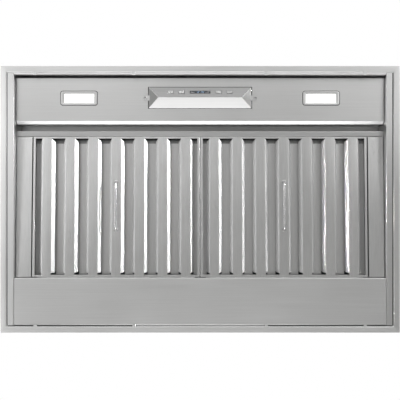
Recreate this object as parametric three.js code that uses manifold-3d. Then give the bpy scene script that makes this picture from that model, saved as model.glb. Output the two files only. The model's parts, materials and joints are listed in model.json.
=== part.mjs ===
// A range hood insert, hung in a cabinet and seen from the cooktop.
// Millimetres. The rim's underside is z = 0, the user stands at -Y and the wall is at +Y.
import * as THREE from "three";
import { ConvexGeometry } from "three/addons/geometries/ConvexGeometry.js";
import { mergeVertices } from "three/addons/utils/BufferGeometryUtils.js";
import Module from "manifold-3d";

const wasm = await Module();
wasm.setup();

// Driving dimensions
const gap = 0.3; // between pieces that touch
const sheet = 1.2; // thickness of the folded sheets
const rim = { x: 436.5, y: 291.5, band: 13.8, thick: 1.5, leg: 14 }; // x and y are half sizes
const body = { x: 407.4, front: -273.7, rear: 275.9, foot: 1.2, top: 139.7 }; // inner faces of the walls
const fascia = { front: -268.3, z: 16.4, bevelFront: -173.2, bevelRear: -166.3, bevelZ: 23.5, top: 61.5 };
const ledge = { front: -151.8, rear: -139.3, z: 23, lip: 30 };
const pan = { front: 172, rear: 275.6, z: 1.2, lip: 9.4 };
const filter = { width: 369.8, length: 309.9, high: 26, rail: 5.5, frontRail: 2.1, rearRail: 4.1, centre: 185.4, metal: 1 };
const filterTilt = THREE.MathUtils.degToRad(-2.406); // the front edge is 13 mm higher than the rear
const baffle = { count: 7, pitch: 51.3, face: 21.5, flare: 5.9, high: 13, backFace: 28 };
const handle = { length: 110, wire: 5.8, standoff: 10.9, bend: 8.5, middle: -158 };
const lamp = { x: 267.8, y: -223.6, width: 80.8, depth: 30.6, lensWidth: 65.4, lensDepth: 19.4 };
const wedge = { x: 114.25, front: -248.15, rear: -200.85, ridgeX: 91.7, ridgeY: -223.9, ridgeZ: 4.4 };
const buttonPlaces = { power_button: -65, light_button: -41, slower_button: 41, faster_button: 65 };
const button = { width: 11.5, depth: 6, proud: 0.7, travel: 1 };
const display = { width: 44, depth: 6.5 };
const earX = 121.2; // the screws beside the control housing
const blower = { x: 190, y: 150, top: 338.5, openX: 165, openY: 120 };
const collar = { y: 20, radius: 100, top: 400 };
const damper = { z: 356, radius: 93, rod: 2.5 };
const wheel = { y: -36, z: 248, radius: 66, halfWidth: 64, blades: 24, bladeDepth: 12 };
const scroll = { halfWidth: 75, startAngle: 80, startRadius: 74, endRadius: 104, inlet: 52 };

const root = new THREE.Group();

// Finishes
const finish = (color, metalness, roughness) =>
  new THREE.MeshStandardMaterial({ color, metalness, roughness });
const brushed = () => finish(0xc4c5c6, 0.9, 0.35);
const galvanised = () => finish(0xa6abae, 0.8, 0.5);
const darkPlastic = () => finish(0x2a2c2e, 0, 0.5);
const greyPlastic = () => finish(0x9ea1a3, 0, 0.5);

// A closed geometry as a solid that can be joined and cut.
function solidOf(geometry) {
  const bare = geometry.clone();
  bare.deleteAttribute("normal");
  bare.deleteAttribute("uv");
  const merged = mergeVertices(bare, 1e-3);
  const shell = new wasm.Mesh({
    numProp: 3,
    vertProperties: merged.attributes.position.array,
    triVerts: new Uint32Array(merged.index.array),
  });
  return new wasm.Manifold(shell);
}

function geometryOf(solid) {
  const shell = solid.getMesh();
  const geometry = new THREE.BufferGeometry();
  geometry.setAttribute("position", new THREE.BufferAttribute(shell.vertProperties, 3));
  geometry.setIndex(new THREE.BufferAttribute(shell.triVerts, 1));
  geometry.computeVertexNormals();
  return geometry;
}

const joined = (...solids) => solids.reduce((whole, piece) => whole.add(piece));
const cut = (solid, ...tools) => tools.reduce((left, tool) => left.subtract(tool), solid);

// Names a solid or a geometry and puts it in a group.
function place(name, shape, material, group = root) {
  const geometry = shape.isBufferGeometry ? shape : geometryOf(shape);
  const mesh = new THREE.Mesh(geometry, material);
  mesh.name = name;
  group.add(mesh);
  return mesh;
}

// Axis-aligned block between pairs of limits.
function block([x0, x1], [y0, y1], [z0, z1]) {
  const geometry = new THREE.BoxGeometry(x1 - x0, y1 - y0, z1 - z0);
  return solidOf(geometry.translate((x0 + x1) / 2, (y0 + y1) / 2, (z0 + z1) / 2));
}

const outline = (points) => new THREE.Shape(points.map(([a, b]) => new THREE.Vector2(a, b)));

function extruded(shape, depth, curveSegments = 6) {
  return new THREE.ExtrudeGeometry(shape, { depth, bevelEnabled: false, curveSegments });
}

// Outline in (y, z) run along X, outline in (x, z) run along Y, and shape in (x, y) run along Z.
function alongX(points, x0, x1) {
  const turn = new THREE.Matrix4().makeBasis(
    new THREE.Vector3(0, 1, 0),
    new THREE.Vector3(0, 0, 1),
    new THREE.Vector3(1, 0, 0),
  );
  return solidOf(extruded(outline(points), x1 - x0).applyMatrix4(turn).translate(x0, 0, 0));
}

function alongY(points, y0, y1) {
  return solidOf(extruded(outline(points), y1 - y0).rotateX(Math.PI / 2).translate(0, y1, 0));
}

const alongZ = (shape, z0, z1) => solidOf(extruded(shape, z1 - z0).translate(0, 0, z0));

// Outline of a folded sheet: the path is one face, and the metal lies on the path's left.
function folded(path, thick = sheet) {
  const normals = path.slice(1).map(([a, b], i) => {
    const [c, d] = path[i];
    const length = Math.hypot(a - c, b - d);
    return [(d - b) / length, (a - c) / length];
  });
  const offset = path.map(([a, b], i) => {
    const before = normals[Math.max(i - 1, 0)];
    const after = normals[Math.min(i, normals.length - 1)];
    const scale = thick / (1 + before[0] * after[0] + before[1] * after[1]);
    return [a + scale * (before[0] + after[0]), b + scale * (before[1] + after[1])];
  });
  return [...path, ...offset.reverse()];
}

const mirrored = (points) => points.map(([a, b]) => [-a, b]);

function roundedRectangle(width, depth, radius, Kind = THREE.Shape) {
  const [x, y] = [width / 2, depth / 2];
  const shape = new Kind();
  shape.absarc(x - radius, y - radius, radius, 0, Math.PI / 2);
  shape.absarc(-x + radius, y - radius, radius, Math.PI / 2, Math.PI);
  shape.absarc(-x + radius, -y + radius, radius, Math.PI, Math.PI * 1.5);
  shape.absarc(x - radius, -y + radius, radius, Math.PI * 1.5, Math.PI * 2);
  return shape;
}

// Rectangular ring given by its outer and inner half sizes.
function ring([outerX, outerY], [innerX, innerY], z0, z1) {
  const outer = block([-outerX, outerX], [-outerY, outerY], [z0, z1]);
  return outer.subtract(block([-innerX, innerX], [-innerY, innerY], [z0 - 1, z1 + 1]));
}

// Closed profile of (radius, height) points turned about Z, or about X when lying.
function turned(points, segments = 32) {
  const profile = points.map(([radius, height]) => new THREE.Vector2(radius, height));
  return new THREE.LatheGeometry(profile, segments).rotateX(Math.PI / 2);
}

const lying = (geometry) => geometry.rotateY(Math.PI / 2);

function cylinder(radius, length, segments = 24) {
  return new THREE.CylinderGeometry(radius, radius, length, segments).rotateX(Math.PI / 2);
}

// Rim: the flat band, an upright leg behind its inner edge, a shelf over the walls' flanges, and locating tabs.
function trimFrame() {
  const inner = [rim.x - rim.band, rim.y - rim.band];
  const leg = [inner[0] + rim.thick, inner[1] + rim.thick];
  const tabs = [-361, -144.5, 144.5, 361].flatMap((x) => [
    block([x - 3.5, x + 3.5], [-inner[1] - 2, -inner[1] + 5.5], [0, 0.9]),
    block([x - 3.5, x + 3.5], [inner[1] - 4, inner[1] + 2], [0, 0.9]),
  ]);
  return joined(
    ring([rim.x, rim.y], inner, 0, rim.thick),
    ring(leg, inner, 0, rim.leg),
    ring(leg, [body.x + 3, 276.8], 2.8, 4),
    ...tabs,
  );
}
place("trim_frame", trimFrame(), brushed());

// Walls: each is a folded sheet with a flange under it and a flange that carries the plenum top.
function sideWall(side) {
  const path = [
    [body.x - 17, body.top - sheet],
    [body.x, body.top - sheet],
    [body.x, body.foot],
    [body.x + 14.2, body.foot],
  ];
  const points = folded(path);
  return alongY(side < 0 ? mirrored(points) : points, -276.4, 276.4);
}

function endWall(path) {
  const corner = (side) => block([side * 398.4 - 9.9, side * 398.4 + 9.9], [-280, 280], [body.top - 2, 142]);
  return cut(alongX(folded(path), -body.x + gap, body.x - gap), corner(-1), corner(1));
}

const frontPath = [
  [body.front - 3.5, body.foot],
  [body.front, body.foot],
  [body.front, body.top - sheet],
  [body.front + 16, body.top - sheet],
];
const rearPath = [
  [body.rear - 16, body.top - sheet],
  [body.rear, body.top - sheet],
  [body.rear, 4.4],
];
place("left_wall", sideWall(-1), brushed());
place("right_wall", sideWall(1), brushed());
place("front_wall", endWall(frontPath), brushed());
place("rear_wall", endWall(rearPath), brushed());

// Plenum top with the blower opening.
const plenumTop = cut(
  block([-body.x - sheet, body.x + sheet], [body.front - sheet, body.rear + sheet], [140, 140 + sheet]),
  block([-blower.openX, blower.openX], [-blower.openY, blower.openY], [139, 143]),
);
place("plenum_top", plenumTop, galvanised());

// Wire guard that hangs under the blower opening.
function blowerGuard() {
  const wire = 1.5;
  const level = 135.4;
  const long = (y) => solidOf(lying(cylinder(wire, 336, 6)).translate(0, y, level));
  const short = (x) => solidOf(cylinder(wire, 246, 6).rotateX(Math.PI / 2).translate(x, 0, level + 2.5));
  const longs = [-121, -60, 0, 60, 121].map(long);
  const shorts = Array.from({ length: 12 }, (_, i) => short(-166 + (i * 332) / 11));
  return joined(...longs, ...shorts);
}
place("blower_guard", blowerGuard(), brushed());

// Control fascia: a channel whose rear edge is bevelled, cut for the lamps and for the control housing.
function controlFascia() {
  const path = [
    [fascia.front, fascia.top],
    [fascia.front, fascia.z],
    [fascia.bevelFront, fascia.z],
    [fascia.bevelRear, fascia.bevelZ],
    [fascia.bevelRear, fascia.top],
  ];
  const openings = [-1, 1].flatMap((side) => [
    alongZ(roundedRectangle(lamp.width + 2.4, lamp.depth + 2.4, 6), 10, 20).translate([side * lamp.x, lamp.y, 0]),
    solidOf(cylinder(2.3, 10, 16).translate(side * earX, wedge.ridgeY, fascia.z)),
  ]);
  const wiring = block([-100, 100], [-246, -206], [10, 20]);
  return cut(alongX(folded(path), -body.x + 1, body.x - 1), ...openings, wiring);
}
place("control_fascia", controlFascia(), brushed());

// Ledge: closes the control bay above and behind, and ends in the ledge that the filters meet.
const ledgePath = [
  [body.front + 0.8, fascia.top + 0.4],
  [ledge.front, fascia.top + 0.4],
  [ledge.front, ledge.z],
  [ledge.rear, ledge.z],
  [ledge.rear, ledge.lip],
];
place("filter_ledge", alongX(folded(ledgePath), -body.x + 0.4, body.x - 0.4), brushed());

// Rear pan with the lip that the filters hang on, and the grease tray in it.
const panPath = [
  [pan.rear, 20],
  [pan.rear, pan.z],
  [pan.front, pan.z],
  [pan.front, pan.lip],
].reverse();
place("rear_pan", alongX(folded(panPath), -body.x + 0.4, body.x - 0.4), brushed());
const trayHollow = block([-394, 394], [183, 266], [pan.z + 2.6, 30]);
place("grease_tray", cut(block([-395, 395], [182, 267], [pan.z + 1.6, 17]), trayHollow), galvanised());

// Lamps: a bezel flush in the fascia, a diffuser behind its window, and a finned housing with the lamp board.
function lampHousing() {
  const shell = block([-45, 45], [-20, 20], [17.9, 36]);
  const hollow = block([-43, 43], [-18, 18], [10, 34]);
  const fins = Array.from({ length: 8 }, (_, i) => block([-39 + i * 11, -37 + i * 11], [-19, 19], [35, 44]));
  return joined(cut(shell, hollow), ...fins);
}
for (const [side, hand] of [
  [-1, "left"],
  [1, "right"],
]) {
  const light = new THREE.Group();
  light.position.set(side * lamp.x, lamp.y, 0);
  root.add(light);
  const bezel = roundedRectangle(lamp.width, lamp.depth, 5);
  bezel.holes.push(roundedRectangle(lamp.lensWidth, lamp.lensDepth, 1.5, THREE.Path));
  place(`light_bezel_${hand}`, alongZ(bezel, 16, 19), brushed(), light);
  const lens = roundedRectangle(lamp.lensWidth - 2 * gap, lamp.lensDepth - 2 * gap, 1.2);
  place(`light_lens_${hand}`, alongZ(lens, 16.9, 18.9), finish(0xf6f6f2, 0, 0.3), light);
  place(`light_board_${hand}`, block([-36, 36], [-14, 14], [31.8, 33.4]), finish(0xe9ebe6, 0, 0.5), light);
  place(`light_housing_${hand}`, lampHousing(), galvanised(), light);
}

// Control housing: a hip-roof wedge under the fascia, hollow, with a screw ear at each end.
function hip(inset, baseZ, ridgeZ) {
  const [x, front, rear] = [wedge.x - inset, wedge.front + inset, wedge.rear - inset];
  const ridgeX = wedge.ridgeX - inset * 0.6;
  const corners = [
    [-x, front, baseZ],
    [x, front, baseZ],
    [x, rear, baseZ],
    [-x, rear, baseZ],
    [-ridgeX, wedge.ridgeY, ridgeZ],
    [ridgeX, wedge.ridgeY, ridgeZ],
  ];
  return solidOf(new ConvexGeometry(corners.map((corner) => new THREE.Vector3(...corner))));
}

// The facet that faces the user: a group whose x is world X, y runs to the ridge and z points into the housing.
const baseZ = fascia.z - gap;
const facet = new THREE.Group();
facet.position.set(0, (wedge.front + wedge.ridgeY) / 2, (baseZ + wedge.ridgeZ) / 2);
facet.rotation.x = Math.atan2(wedge.ridgeZ - baseZ, wedge.ridgeY - wedge.front);
root.add(facet);
facet.updateMatrixWorld(true);
const inFacet = (solid) => solidOf(geometryOf(solid).applyMatrix4(facet.matrixWorld));

function controlHousing() {
  const hollow = hip(4.6, baseZ + 0.1, wedge.ridgeZ + 2.1);
  const ears = [-1, 1].map((side) => {
    const disc = solidOf(cylinder(5.5, 1.5, 24).translate(side * earX, wedge.ridgeY, baseZ - 0.75));
    const neck = block(side < 0 ? [-earX, -107] : [107, earX], [-229.4, -218.4], [baseZ - 1.5, baseZ]);
    const bore = solidOf(cylinder(2.3, 10, 16).translate(side * earX, wedge.ridgeY, baseZ));
    return disc.add(neck).subtract(bore);
  });
  const holes = Object.values(buttonPlaces).map((x) =>
    inFacet(block([x - 6.05, x + 6.05], [-3.3, 3.3], [-4, 8])),
  );
  const window = inFacet(block([-22.3, 22.3], [-3.55, 3.55], [-4, 8]));
  return cut(joined(hip(0, baseZ, wedge.ridgeZ), ...ears), hollow, ...holes, window);
}
place("control_housing", controlHousing(), brushed());

// Push buttons: a cap through the facet, a flange that keeps it in, and a stem towards the board.
for (const [name, x] of Object.entries(buttonPlaces)) {
  const [halfWidth, halfDepth] = [button.width / 2, button.depth / 2];
  const cap = block([x - halfWidth, x + halfWidth], [-halfDepth, halfDepth], [-button.proud, 2.6]);
  const flange = block([x - 7, x + 7], [-4, 4], [2.6, 3.5]);
  const stem = block([x - 1.5, x + 1.5], [-1.5, 1.5], [3, 5.4]);
  place(name, joined(cap, flange, stem), greyPlastic(), facet);
}
const [windowX, windowY] = [display.width / 2, display.depth / 2];
place("display_window", block([-windowX, windowX], [-windowY, windowY], [-gap, 3.2]), darkPlastic(), facet);
place("control_board", block([-90, 90], [-9.5, 9.5], [7, 8.6]), finish(0x1f6b3a, 0, 0.5), facet);

function earScrew() {
  const head = [
    [0, -3.4],
    [2.2, -3.1],
    [3.4, -2.2],
    [4, -1],
    [4, 0],
    [1.9, 0],
    [1.9, 9],
    [0, 10],
  ];
  const socket = solidOf(cylinder(1.4, 3, 6).translate(0, 0, -3));
  return solidOf(turned(head, 24)).subtract(socket);
}
for (const [side, hand] of [
  [-1, "left"],
  [1, "right"],
]) {
  const screw = place(`control_screw_${hand}`, earScrew(), finish(0xb9bbbd, 1, 0.3));
  screw.position.set(side * earX, wedge.ridgeY, baseZ - 1.5 - gap);
}

// Everything that follows the sloping filter plane is built flat: y = 0 is the pan's lip and the front is -y.
function sloping(x) {
  const group = new THREE.Group();
  group.position.set(x, pan.front, pan.lip);
  group.rotation.x = filterTilt;
  root.add(group);
  return group;
}
const plane = 0.5; // the filters' underside above the pan's lip

// Filler panels between the filters and the side walls.
const fillerPath = [
  [371.5, 22],
  [371.5, plane],
  [body.x - 0.6, plane],
  [body.x - 0.6, 22],
];
const fillerOutline = folded(fillerPath, filter.metal);
place("filler_left", alongY(mirrored(fillerOutline), -311, -1), brushed(), sloping(0));
place("filler_right", alongY(fillerOutline, -311, -1), brushed(), sloping(0));

// Filter frame: a channel round four sides, with a lip towards the ledge and the tail that rests on the pan's lip.
const filterTop = plane + filter.high;
const filterX = filter.width / 2;
const window = { front: -filter.length + filter.frontRail, rear: -filter.rearRail - 0.8, x: filterX - filter.rail };
function filterFrame() {
  const outer = block([-filterX, filterX], [-filter.length, -0.8], [plane, filterTop]);
  const hollow = block(
    [-filterX + filter.metal, filterX - filter.metal],
    [-filter.length + filter.metal, -0.8 - filter.metal],
    [plane + filter.metal, filterTop - filter.metal],
  );
  const opening = block([-window.x, window.x], [window.front, window.rear], [-5, 40]);
  const tail = block([-filterX + 12, filterX - 12], [-2, 7], [plane, plane + filter.metal]);
  const lip = block([-filterX, filterX], [-filter.length - 1.3, -filter.length + 1], [plane, plane + filter.metal]);
  return joined(cut(outer, hollow, opening), tail, lip);
}

// Front row: seven flared channels, faces level with the frame, with tongues that lie over the frame's flanges.
function frontBaffles() {
  const half = baffle.face / 2;
  const path = [
    [-half - baffle.flare, plane + baffle.high],
    [-half, plane],
    [half, plane],
    [half + baffle.flare, plane + baffle.high],
  ];
  const channel = folded(path, filter.metal);
  const [front, rear] = [window.front + gap, window.rear - gap];
  const tongueZ = plane + filter.metal + gap;
  const mitre = alongX(
    [
      [front - 1, plane + 1.2],
      [front + 0.6, plane + 1.2],
      [front + 7.5, 20],
      [front - 1, 20],
    ],
    -200,
    200,
  );
  const drain = alongX(
    [
      [rear + 1, plane + 1.2],
      [rear - 4.6, plane + 1.2],
      [rear - 6.4, plane + 16],
      [rear + 1, plane + 16],
    ],
    -200,
    200,
  );
  const row = Array.from({ length: baffle.count }, (_, i) => {
    const x = (i - (baffle.count - 1) / 2) * baffle.pitch;
    const single = cut(alongY(channel, front, rear), mitre, drain).translate([x, 0, 0]);
    const steps = [front, rear - 1].map((y) =>
      block([x - half + 0.5, x + half - 0.5], [y, y + 1], [plane + 0.5, tongueZ + filter.metal]),
    );
    return joined(single, ...steps);
  });
  const strips = [
    [-filter.length + 1.6, front + 0.3],
    [rear - 0.2, -2.4],
  ].map((limits) => block([-filterX + 3, filterX - 3], limits, [tongueZ, tongueZ + filter.metal]));
  return joined(...row, ...strips);
}

// Back row: channels that open downwards over the gaps of the front row, joined by a strip at each end.
// At the rear they narrow to tongues, so grease drains past the ends of the flares.
function backBaffles() {
  const half = baffle.backFace / 2;
  const level = filterTop - filter.metal - gap - filter.metal;
  const path = [
    [-half, plane + 9],
    [-half, level],
    [half, level],
    [half, plane + 9],
  ];
  const channel = folded(path, filter.metal);
  const inside = block([-filterX + 1.6, filterX - 1.6], [-400, 10], [0, 40]);
  const tongue = block([-9, 9], [-13, -3.1], [level, level + filter.metal]);
  const single = alongY(channel, -299.4, -12.5).add(tongue);
  const row = Array.from({ length: baffle.count + 1 }, (_, i) => single.translate([(i - baffle.count / 2) * baffle.pitch, 0, 0]));
  const strips = [
    [-307.2, -298.9],
    [-4.4, -3.1],
  ].map((limits) => block([-filterX + 1.6, filterX - 1.6], limits, [level - 0.6, level + filter.metal]));
  return joined(...row.map((piece) => piece.intersect(inside)), ...strips);
}

// Handle: a bow of round wire on the middle baffle.
function wireHandle() {
  const [top, low, half] = [plane - gap, plane - handle.standoff, handle.length / 2 - handle.wire / 2];
  const corner = (y, z) => new THREE.Vector3(0, handle.middle + y, z);
  const route = new THREE.CurvePath();
  route.add(new THREE.LineCurve3(corner(-half, top), corner(-half, low + handle.bend)));
  route.add(
    new THREE.QuadraticBezierCurve3(
      corner(-half, low + handle.bend),
      corner(-half, low),
      corner(-half + handle.bend, low),
    ),
  );
  route.add(new THREE.LineCurve3(corner(-half + handle.bend, low), corner(half - handle.bend, low)));
  route.add(
    new THREE.QuadraticBezierCurve3(
      corner(half - handle.bend, low),
      corner(half, low),
      corner(half, low + handle.bend),
    ),
  );
  route.add(new THREE.LineCurve3(corner(half, low + handle.bend), corner(half, top)));
  const section = new THREE.Shape().absarc(0, 0, handle.wire / 2, 0, Math.PI * 2);
  return new THREE.ExtrudeGeometry(section, { steps: 40, extrudePath: route, curveSegments: 4 });
}

for (const [side, hand] of [
  [-1, "left"],
  [1, "right"],
]) {
  const group = sloping(side * filter.centre);
  place(`filter_frame_${hand}`, filterFrame(), brushed(), group);
  place(`front_baffles_${hand}`, frontBaffles(), brushed(), group);
  place(`back_baffles_${hand}`, backBaffles(), brushed(), group);
  place(`handle_${hand}`, solidOf(wireHandle()), finish(0xd4d5d6, 1, 0.2), group);
}

// Blower box on the plenum top, and its lid under the collar.
const blowerBox = joined(
  ring([blower.x, blower.y], [blower.x - sheet, blower.y - sheet], 141.5, blower.top),
  ring([blower.x + 15, blower.y + 15], [blower.x - sheet, blower.y - sheet], 141.5, 141.5 + sheet),
);
place("blower_box", blowerBox, galvanised());
const lidX = blower.x + 1.7;
const lidY = blower.y + 1.7;
const lidSheet = block([-lidX, lidX], [-lidY, lidY], [blower.top + gap, blower.top + gap + sheet]);
const lidLips = ring([lidX, lidY], [lidX - sheet, lidY - sheet], 326, blower.top + 1);
const lidBore = solidOf(cylinder(98.8, 20, 48).translate(0, collar.y, blower.top));
place("blower_lid", cut(lidSheet.add(lidLips), lidBore), galvanised());

// Duct collar: flanged tube with a bead, and two stops that the closed flaps rest on.
function ductCollar() {
  const foot = blower.top + gap + sheet + gap;
  const inner = collar.radius - sheet;
  const profile = [
    [inner, foot],
    [inner + 20, foot],
    [inner + 20, foot + sheet],
    [collar.radius, foot + sheet],
    [collar.radius, 383],
    [collar.radius + 2, 386],
    [collar.radius, 389],
    [collar.radius, collar.top],
    [inner, collar.top],
    [inner, foot],
  ];
  const stops = [-93.7, 93.7].map((y) => block([-9, 9], [y - 5.7, y + 5.7], [damper.z - 3, damper.z - 1.2]));
  return solidOf(turned(profile, 48)).add(joined(...stops)).translate([0, collar.y, 0]);
}
place("duct_collar", ductCollar(), galvanised());

// Damper: a rod across the collar and two half discs whose knuckles turn on it.
const rod = lying(cylinder(damper.rod, 196.4, 16)).translate(0, collar.y, damper.z);
place("damper_rod", solidOf(rod), galvanised());
function damperFlap(side) {
  const half = new THREE.Shape().absarc(0, 0, damper.radius, 0, Math.PI);
  const plate = extruded(half, 1, 16).translate(0, 0, -0.5);
  const clear = block([-100, 100], [-1, 4.6], [-5, 5]);
  const leaf = solidOf(plate).subtract(clear);
  const knuckles = [-20, 62].map((x) => {
    const barrel = solidOf(lying(cylinder(4.1, 38, 16)).translate(x, 0, 0));
    return barrel.add(block([x - 19, x + 19], [3, 5.5], [-0.5, 0.5]));
  });
  const bore = solidOf(lying(cylinder(damper.rod + gap, 300, 16)));
  const flap = cut(joined(leaf, ...knuckles), bore);
  return side < 0 ? flap.rotate([0, 0, 180]) : flap;
}
for (const [side, name] of [
  [-1, "damper_flap_front"],
  [1, "damper_flap_rear"],
]) {
  place(name, damperFlap(side), finish(0x9fa4a8, 0.9, 0.4)).position.set(0, collar.y, damper.z);
}

// Scroll housing: two halves that meet in the middle, each a wrap with a side plate and an inlet.
function scrollOutline(wall) {
  const steps = 22;
  const first = THREE.MathUtils.degToRad(scroll.startAngle);
  const spiral = Array.from({ length: steps + 1 }, (_, i) => {
    const angle = first + (i / steps) * (2 * Math.PI - first);
    const radius = scroll.startRadius + (i / steps) * (scroll.endRadius - scroll.startRadius) + wall;
    return [wheel.y + radius * Math.cos(angle), wheel.z + radius * Math.sin(angle)];
  });
  const outlet = wall > 0 ? 338.2 : 345;
  const tongueY = wheel.y + 8 - wall;
  return [...spiral, [wheel.y + scroll.endRadius + wall, outlet], [tongueY, outlet], [tongueY, wheel.z + 76]];
}
function scrollHalf(side) {
  const [near, far] = [gap / 2, scroll.halfWidth];
  const along = (points, from, to) => (side < 0 ? alongX(points, -to, -from) : alongX(points, from, to));
  const shell = along(scrollOutline(sheet), near, far + sheet);
  const inletRing = turned(
    [
      [scroll.inlet, -6],
      [scroll.inlet + 1.5, -6],
      [scroll.inlet + 1.5, 1],
      [scroll.inlet, 1],
      [scroll.inlet, -6],
    ],
    28,
  );
  const bell = solidOf(lying(inletRing).scale(side, side, 1).translate(side * far, wheel.y, wheel.z));
  const mouth = solidOf(lying(cylinder(scroll.inlet, 40, 28)).translate(side * far, wheel.y, wheel.z));
  return cut(shell, along(scrollOutline(0), near - 1, far), mouth).add(bell);
}
place("scroll_left", scrollHalf(-1), galvanised());
place("scroll_right", scrollHalf(1), galvanised());

// Motor in the left inlet, the spider that carries it, its shaft and the double-inlet wheel.
const motorProfile = [
  [0, -88],
  [30, -88],
  [38, -85],
  [42, -80],
  [42, -20],
  [38, -15],
  [14, -14],
  [14, -11.6],
  [6, -11.6],
  [6, -14],
  [0, -14],
];
const atWheel = (geometry) => solidOf(lying(geometry).translate(0, wheel.y, wheel.z));
place("motor", atWheel(turned(motorProfile, 32)), finish(0x3a3d40, 0.6, 0.5));

function motorBracket() {
  const spider = new THREE.Shape().absarc(0, 0, 66, 0, Math.PI * 2);
  spider.holes.push(new THREE.Path().absarc(0, 0, 42.4, 0, Math.PI * 2));
  const slots = [0, 1, 2].map((i) => {
    const from = (i * 2 * Math.PI) / 3 + 0.13;
    const to = ((i + 1) * 2 * Math.PI) / 3 - 0.13;
    const slot = new THREE.Shape().absarc(0, 0, 59, from, to);
    slot.absarc(0, 0, 47, to, from, true);
    return solidOf(extruded(slot, 10, 7));
  });
  const flat = cut(solidOf(extruded(spider, 2, 12)), ...slots.map((slot) => slot.translate([0, 0, -4])));
  return geometryOf(flat).rotateY(Math.PI / 2).translate(-78.5, wheel.y, wheel.z);
}
place("motor_bracket", motorBracket(), galvanised());
place("motor_shaft", atWheel(cylinder(4, 30, 16).translate(0, 0, 1.2)), finish(0xc8c8c8, 1, 0.25));

function impeller() {
  const inner = wheel.radius - wheel.bladeDepth;
  const curve = new THREE.QuadraticBezierCurve(
    new THREE.Vector2(inner, 0),
    new THREE.Vector2(inner + 8, 0.6),
    new THREE.Vector2(wheel.radius - 0.4, 8),
  );
  const blade = folded(curve.getPoints(2).map((point) => [point.x, point.y]), 1);
  const length = 2 * wheel.halfWidth;
  const blades = Array.from({ length: wheel.blades }, (_, i) => {
    const geometry = extruded(outline(blade), length).translate(0, 0, -wheel.halfWidth);
    return solidOf(geometry.rotateZ((i * 2 * Math.PI) / wheel.blades));
  });
  const disc = solidOf(cylinder(wheel.radius - 2, 1.6, 24));
  const hub = solidOf(cylinder(12, 18, 20).translate(0, 0, 1.6));
  const bore = solidOf(cylinder(4.3, 60, 16));
  const rings = [-1, 1].map((side) => {
    const edge = side * (wheel.halfWidth - 1.5);
    const profile = [
      [wheel.radius - 3, edge - 1.5],
      [wheel.radius + 0.6, edge - 1.5],
      [wheel.radius + 0.6, edge + 1.5],
      [wheel.radius - 3, edge + 1.5],
      [wheel.radius - 3, edge - 1.5],
    ];
    return solidOf(turned(profile, 24));
  });
  return cut(joined(...blades, disc, hub, ...rings), bore);
}
const wheelBody = geometryOf(impeller()).rotateY(Math.PI / 2).translate(0, wheel.y, wheel.z);
place("impeller", wheelBody, galvanised());

// Electrics: run capacitor in the blower box, lamp driver and junction box on the plenum top.
const can = [
  [0, 0],
  [18, 0],
  [19, 1.5],
  [19, 58],
  [18, 60],
  [8, 60],
  [8, 63],
  [0, 63],
];
const capacitor = place("capacitor", turned(can, 28), finish(0xd8d9da, 0.2, 0.4));
capacitor.position.set(150, -70, 163);
capacitor.rotation.x = -Math.PI / 2;

const driver = joined(
  block([-340, -220], [-60, -18], [141.5, 168]),
  block([-350, -210], [-48, -30], [141.5, 143]),
);
place("lamp_driver", driver, finish(0xe6e6e2, 0, 0.5));

const junction = { x: [235, 335], y: [-60, 20], z: [141.5, 190] };
const junctionHollow = block([236.2, 333.8], [-58.8, 18.8], [142.7, 200]);
place("junction_box", cut(block(junction.x, junction.y, junction.z), junctionHollow), galvanised());
const coverSheet = block([233.6, 336.4], [-61.4, 21.4], [190.3, 191.5]);
const coverLips = cut(
  block([233.6, 336.4], [-61.4, 21.4], [182, 191]),
  block([234.7, 335.3], [-60.3, 20.3], [170, 190.4]),
);
place("junction_cover", coverSheet.add(coverLips), galvanised());

// Mounting brackets: angles on the side walls, slotted for the cabinet screws.
function mountingBracket(side) {
  const wallFace = body.x + sheet + gap;
  const path = [
    [wallFace, 70],
    [wallFace, 110],
    [rim.x - 4, 110],
  ].reverse();
  const points = folded(path, 2).map(([x, z]) => [side * x, z]);
  const slots = [-70, 70].map((y) =>
    block([side * 424 - 4, side * 424 + 4], [y - 10, y + 10], [100, 120]),
  );
  return cut(alongY(points, -100, 100), ...slots);
}
place("mounting_bracket_left", mountingBracket(-1), galvanised());
place("mounting_bracket_right", mountingBracket(1), galvanised());

export default root;
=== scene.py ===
# A built-in range hood insert as the cook sees it from the cooktop: brushed stainless steel underneath,
# two baffle filters that tilt down, and a galvanised blower box with a round duct collar on top.
import json
import math
import bmesh
import bpy
from mathutils import Matrix, Vector

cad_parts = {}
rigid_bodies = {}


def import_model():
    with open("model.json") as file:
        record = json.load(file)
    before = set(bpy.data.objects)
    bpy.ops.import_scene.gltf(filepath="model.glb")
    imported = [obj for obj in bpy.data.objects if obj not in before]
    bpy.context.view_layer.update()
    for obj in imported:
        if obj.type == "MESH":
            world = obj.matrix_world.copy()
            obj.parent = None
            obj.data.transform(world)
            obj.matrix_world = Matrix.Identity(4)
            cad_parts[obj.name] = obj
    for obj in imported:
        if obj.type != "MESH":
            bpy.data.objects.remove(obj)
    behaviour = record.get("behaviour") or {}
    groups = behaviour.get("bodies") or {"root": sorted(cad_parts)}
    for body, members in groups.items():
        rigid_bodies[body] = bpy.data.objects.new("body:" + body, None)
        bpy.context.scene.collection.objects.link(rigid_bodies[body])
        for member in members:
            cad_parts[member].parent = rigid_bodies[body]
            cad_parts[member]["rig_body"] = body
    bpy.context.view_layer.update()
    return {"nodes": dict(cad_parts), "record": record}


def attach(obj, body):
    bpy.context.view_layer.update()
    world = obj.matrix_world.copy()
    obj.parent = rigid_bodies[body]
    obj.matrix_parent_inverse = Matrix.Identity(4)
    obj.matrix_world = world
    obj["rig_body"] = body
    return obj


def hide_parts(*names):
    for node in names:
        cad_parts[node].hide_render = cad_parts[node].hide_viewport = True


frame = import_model()
cad = frame["nodes"]
scene = bpy.context.scene
mm = 0.001  # the pieces are drawn in millimetres and shrunk to metres at the end


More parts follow.
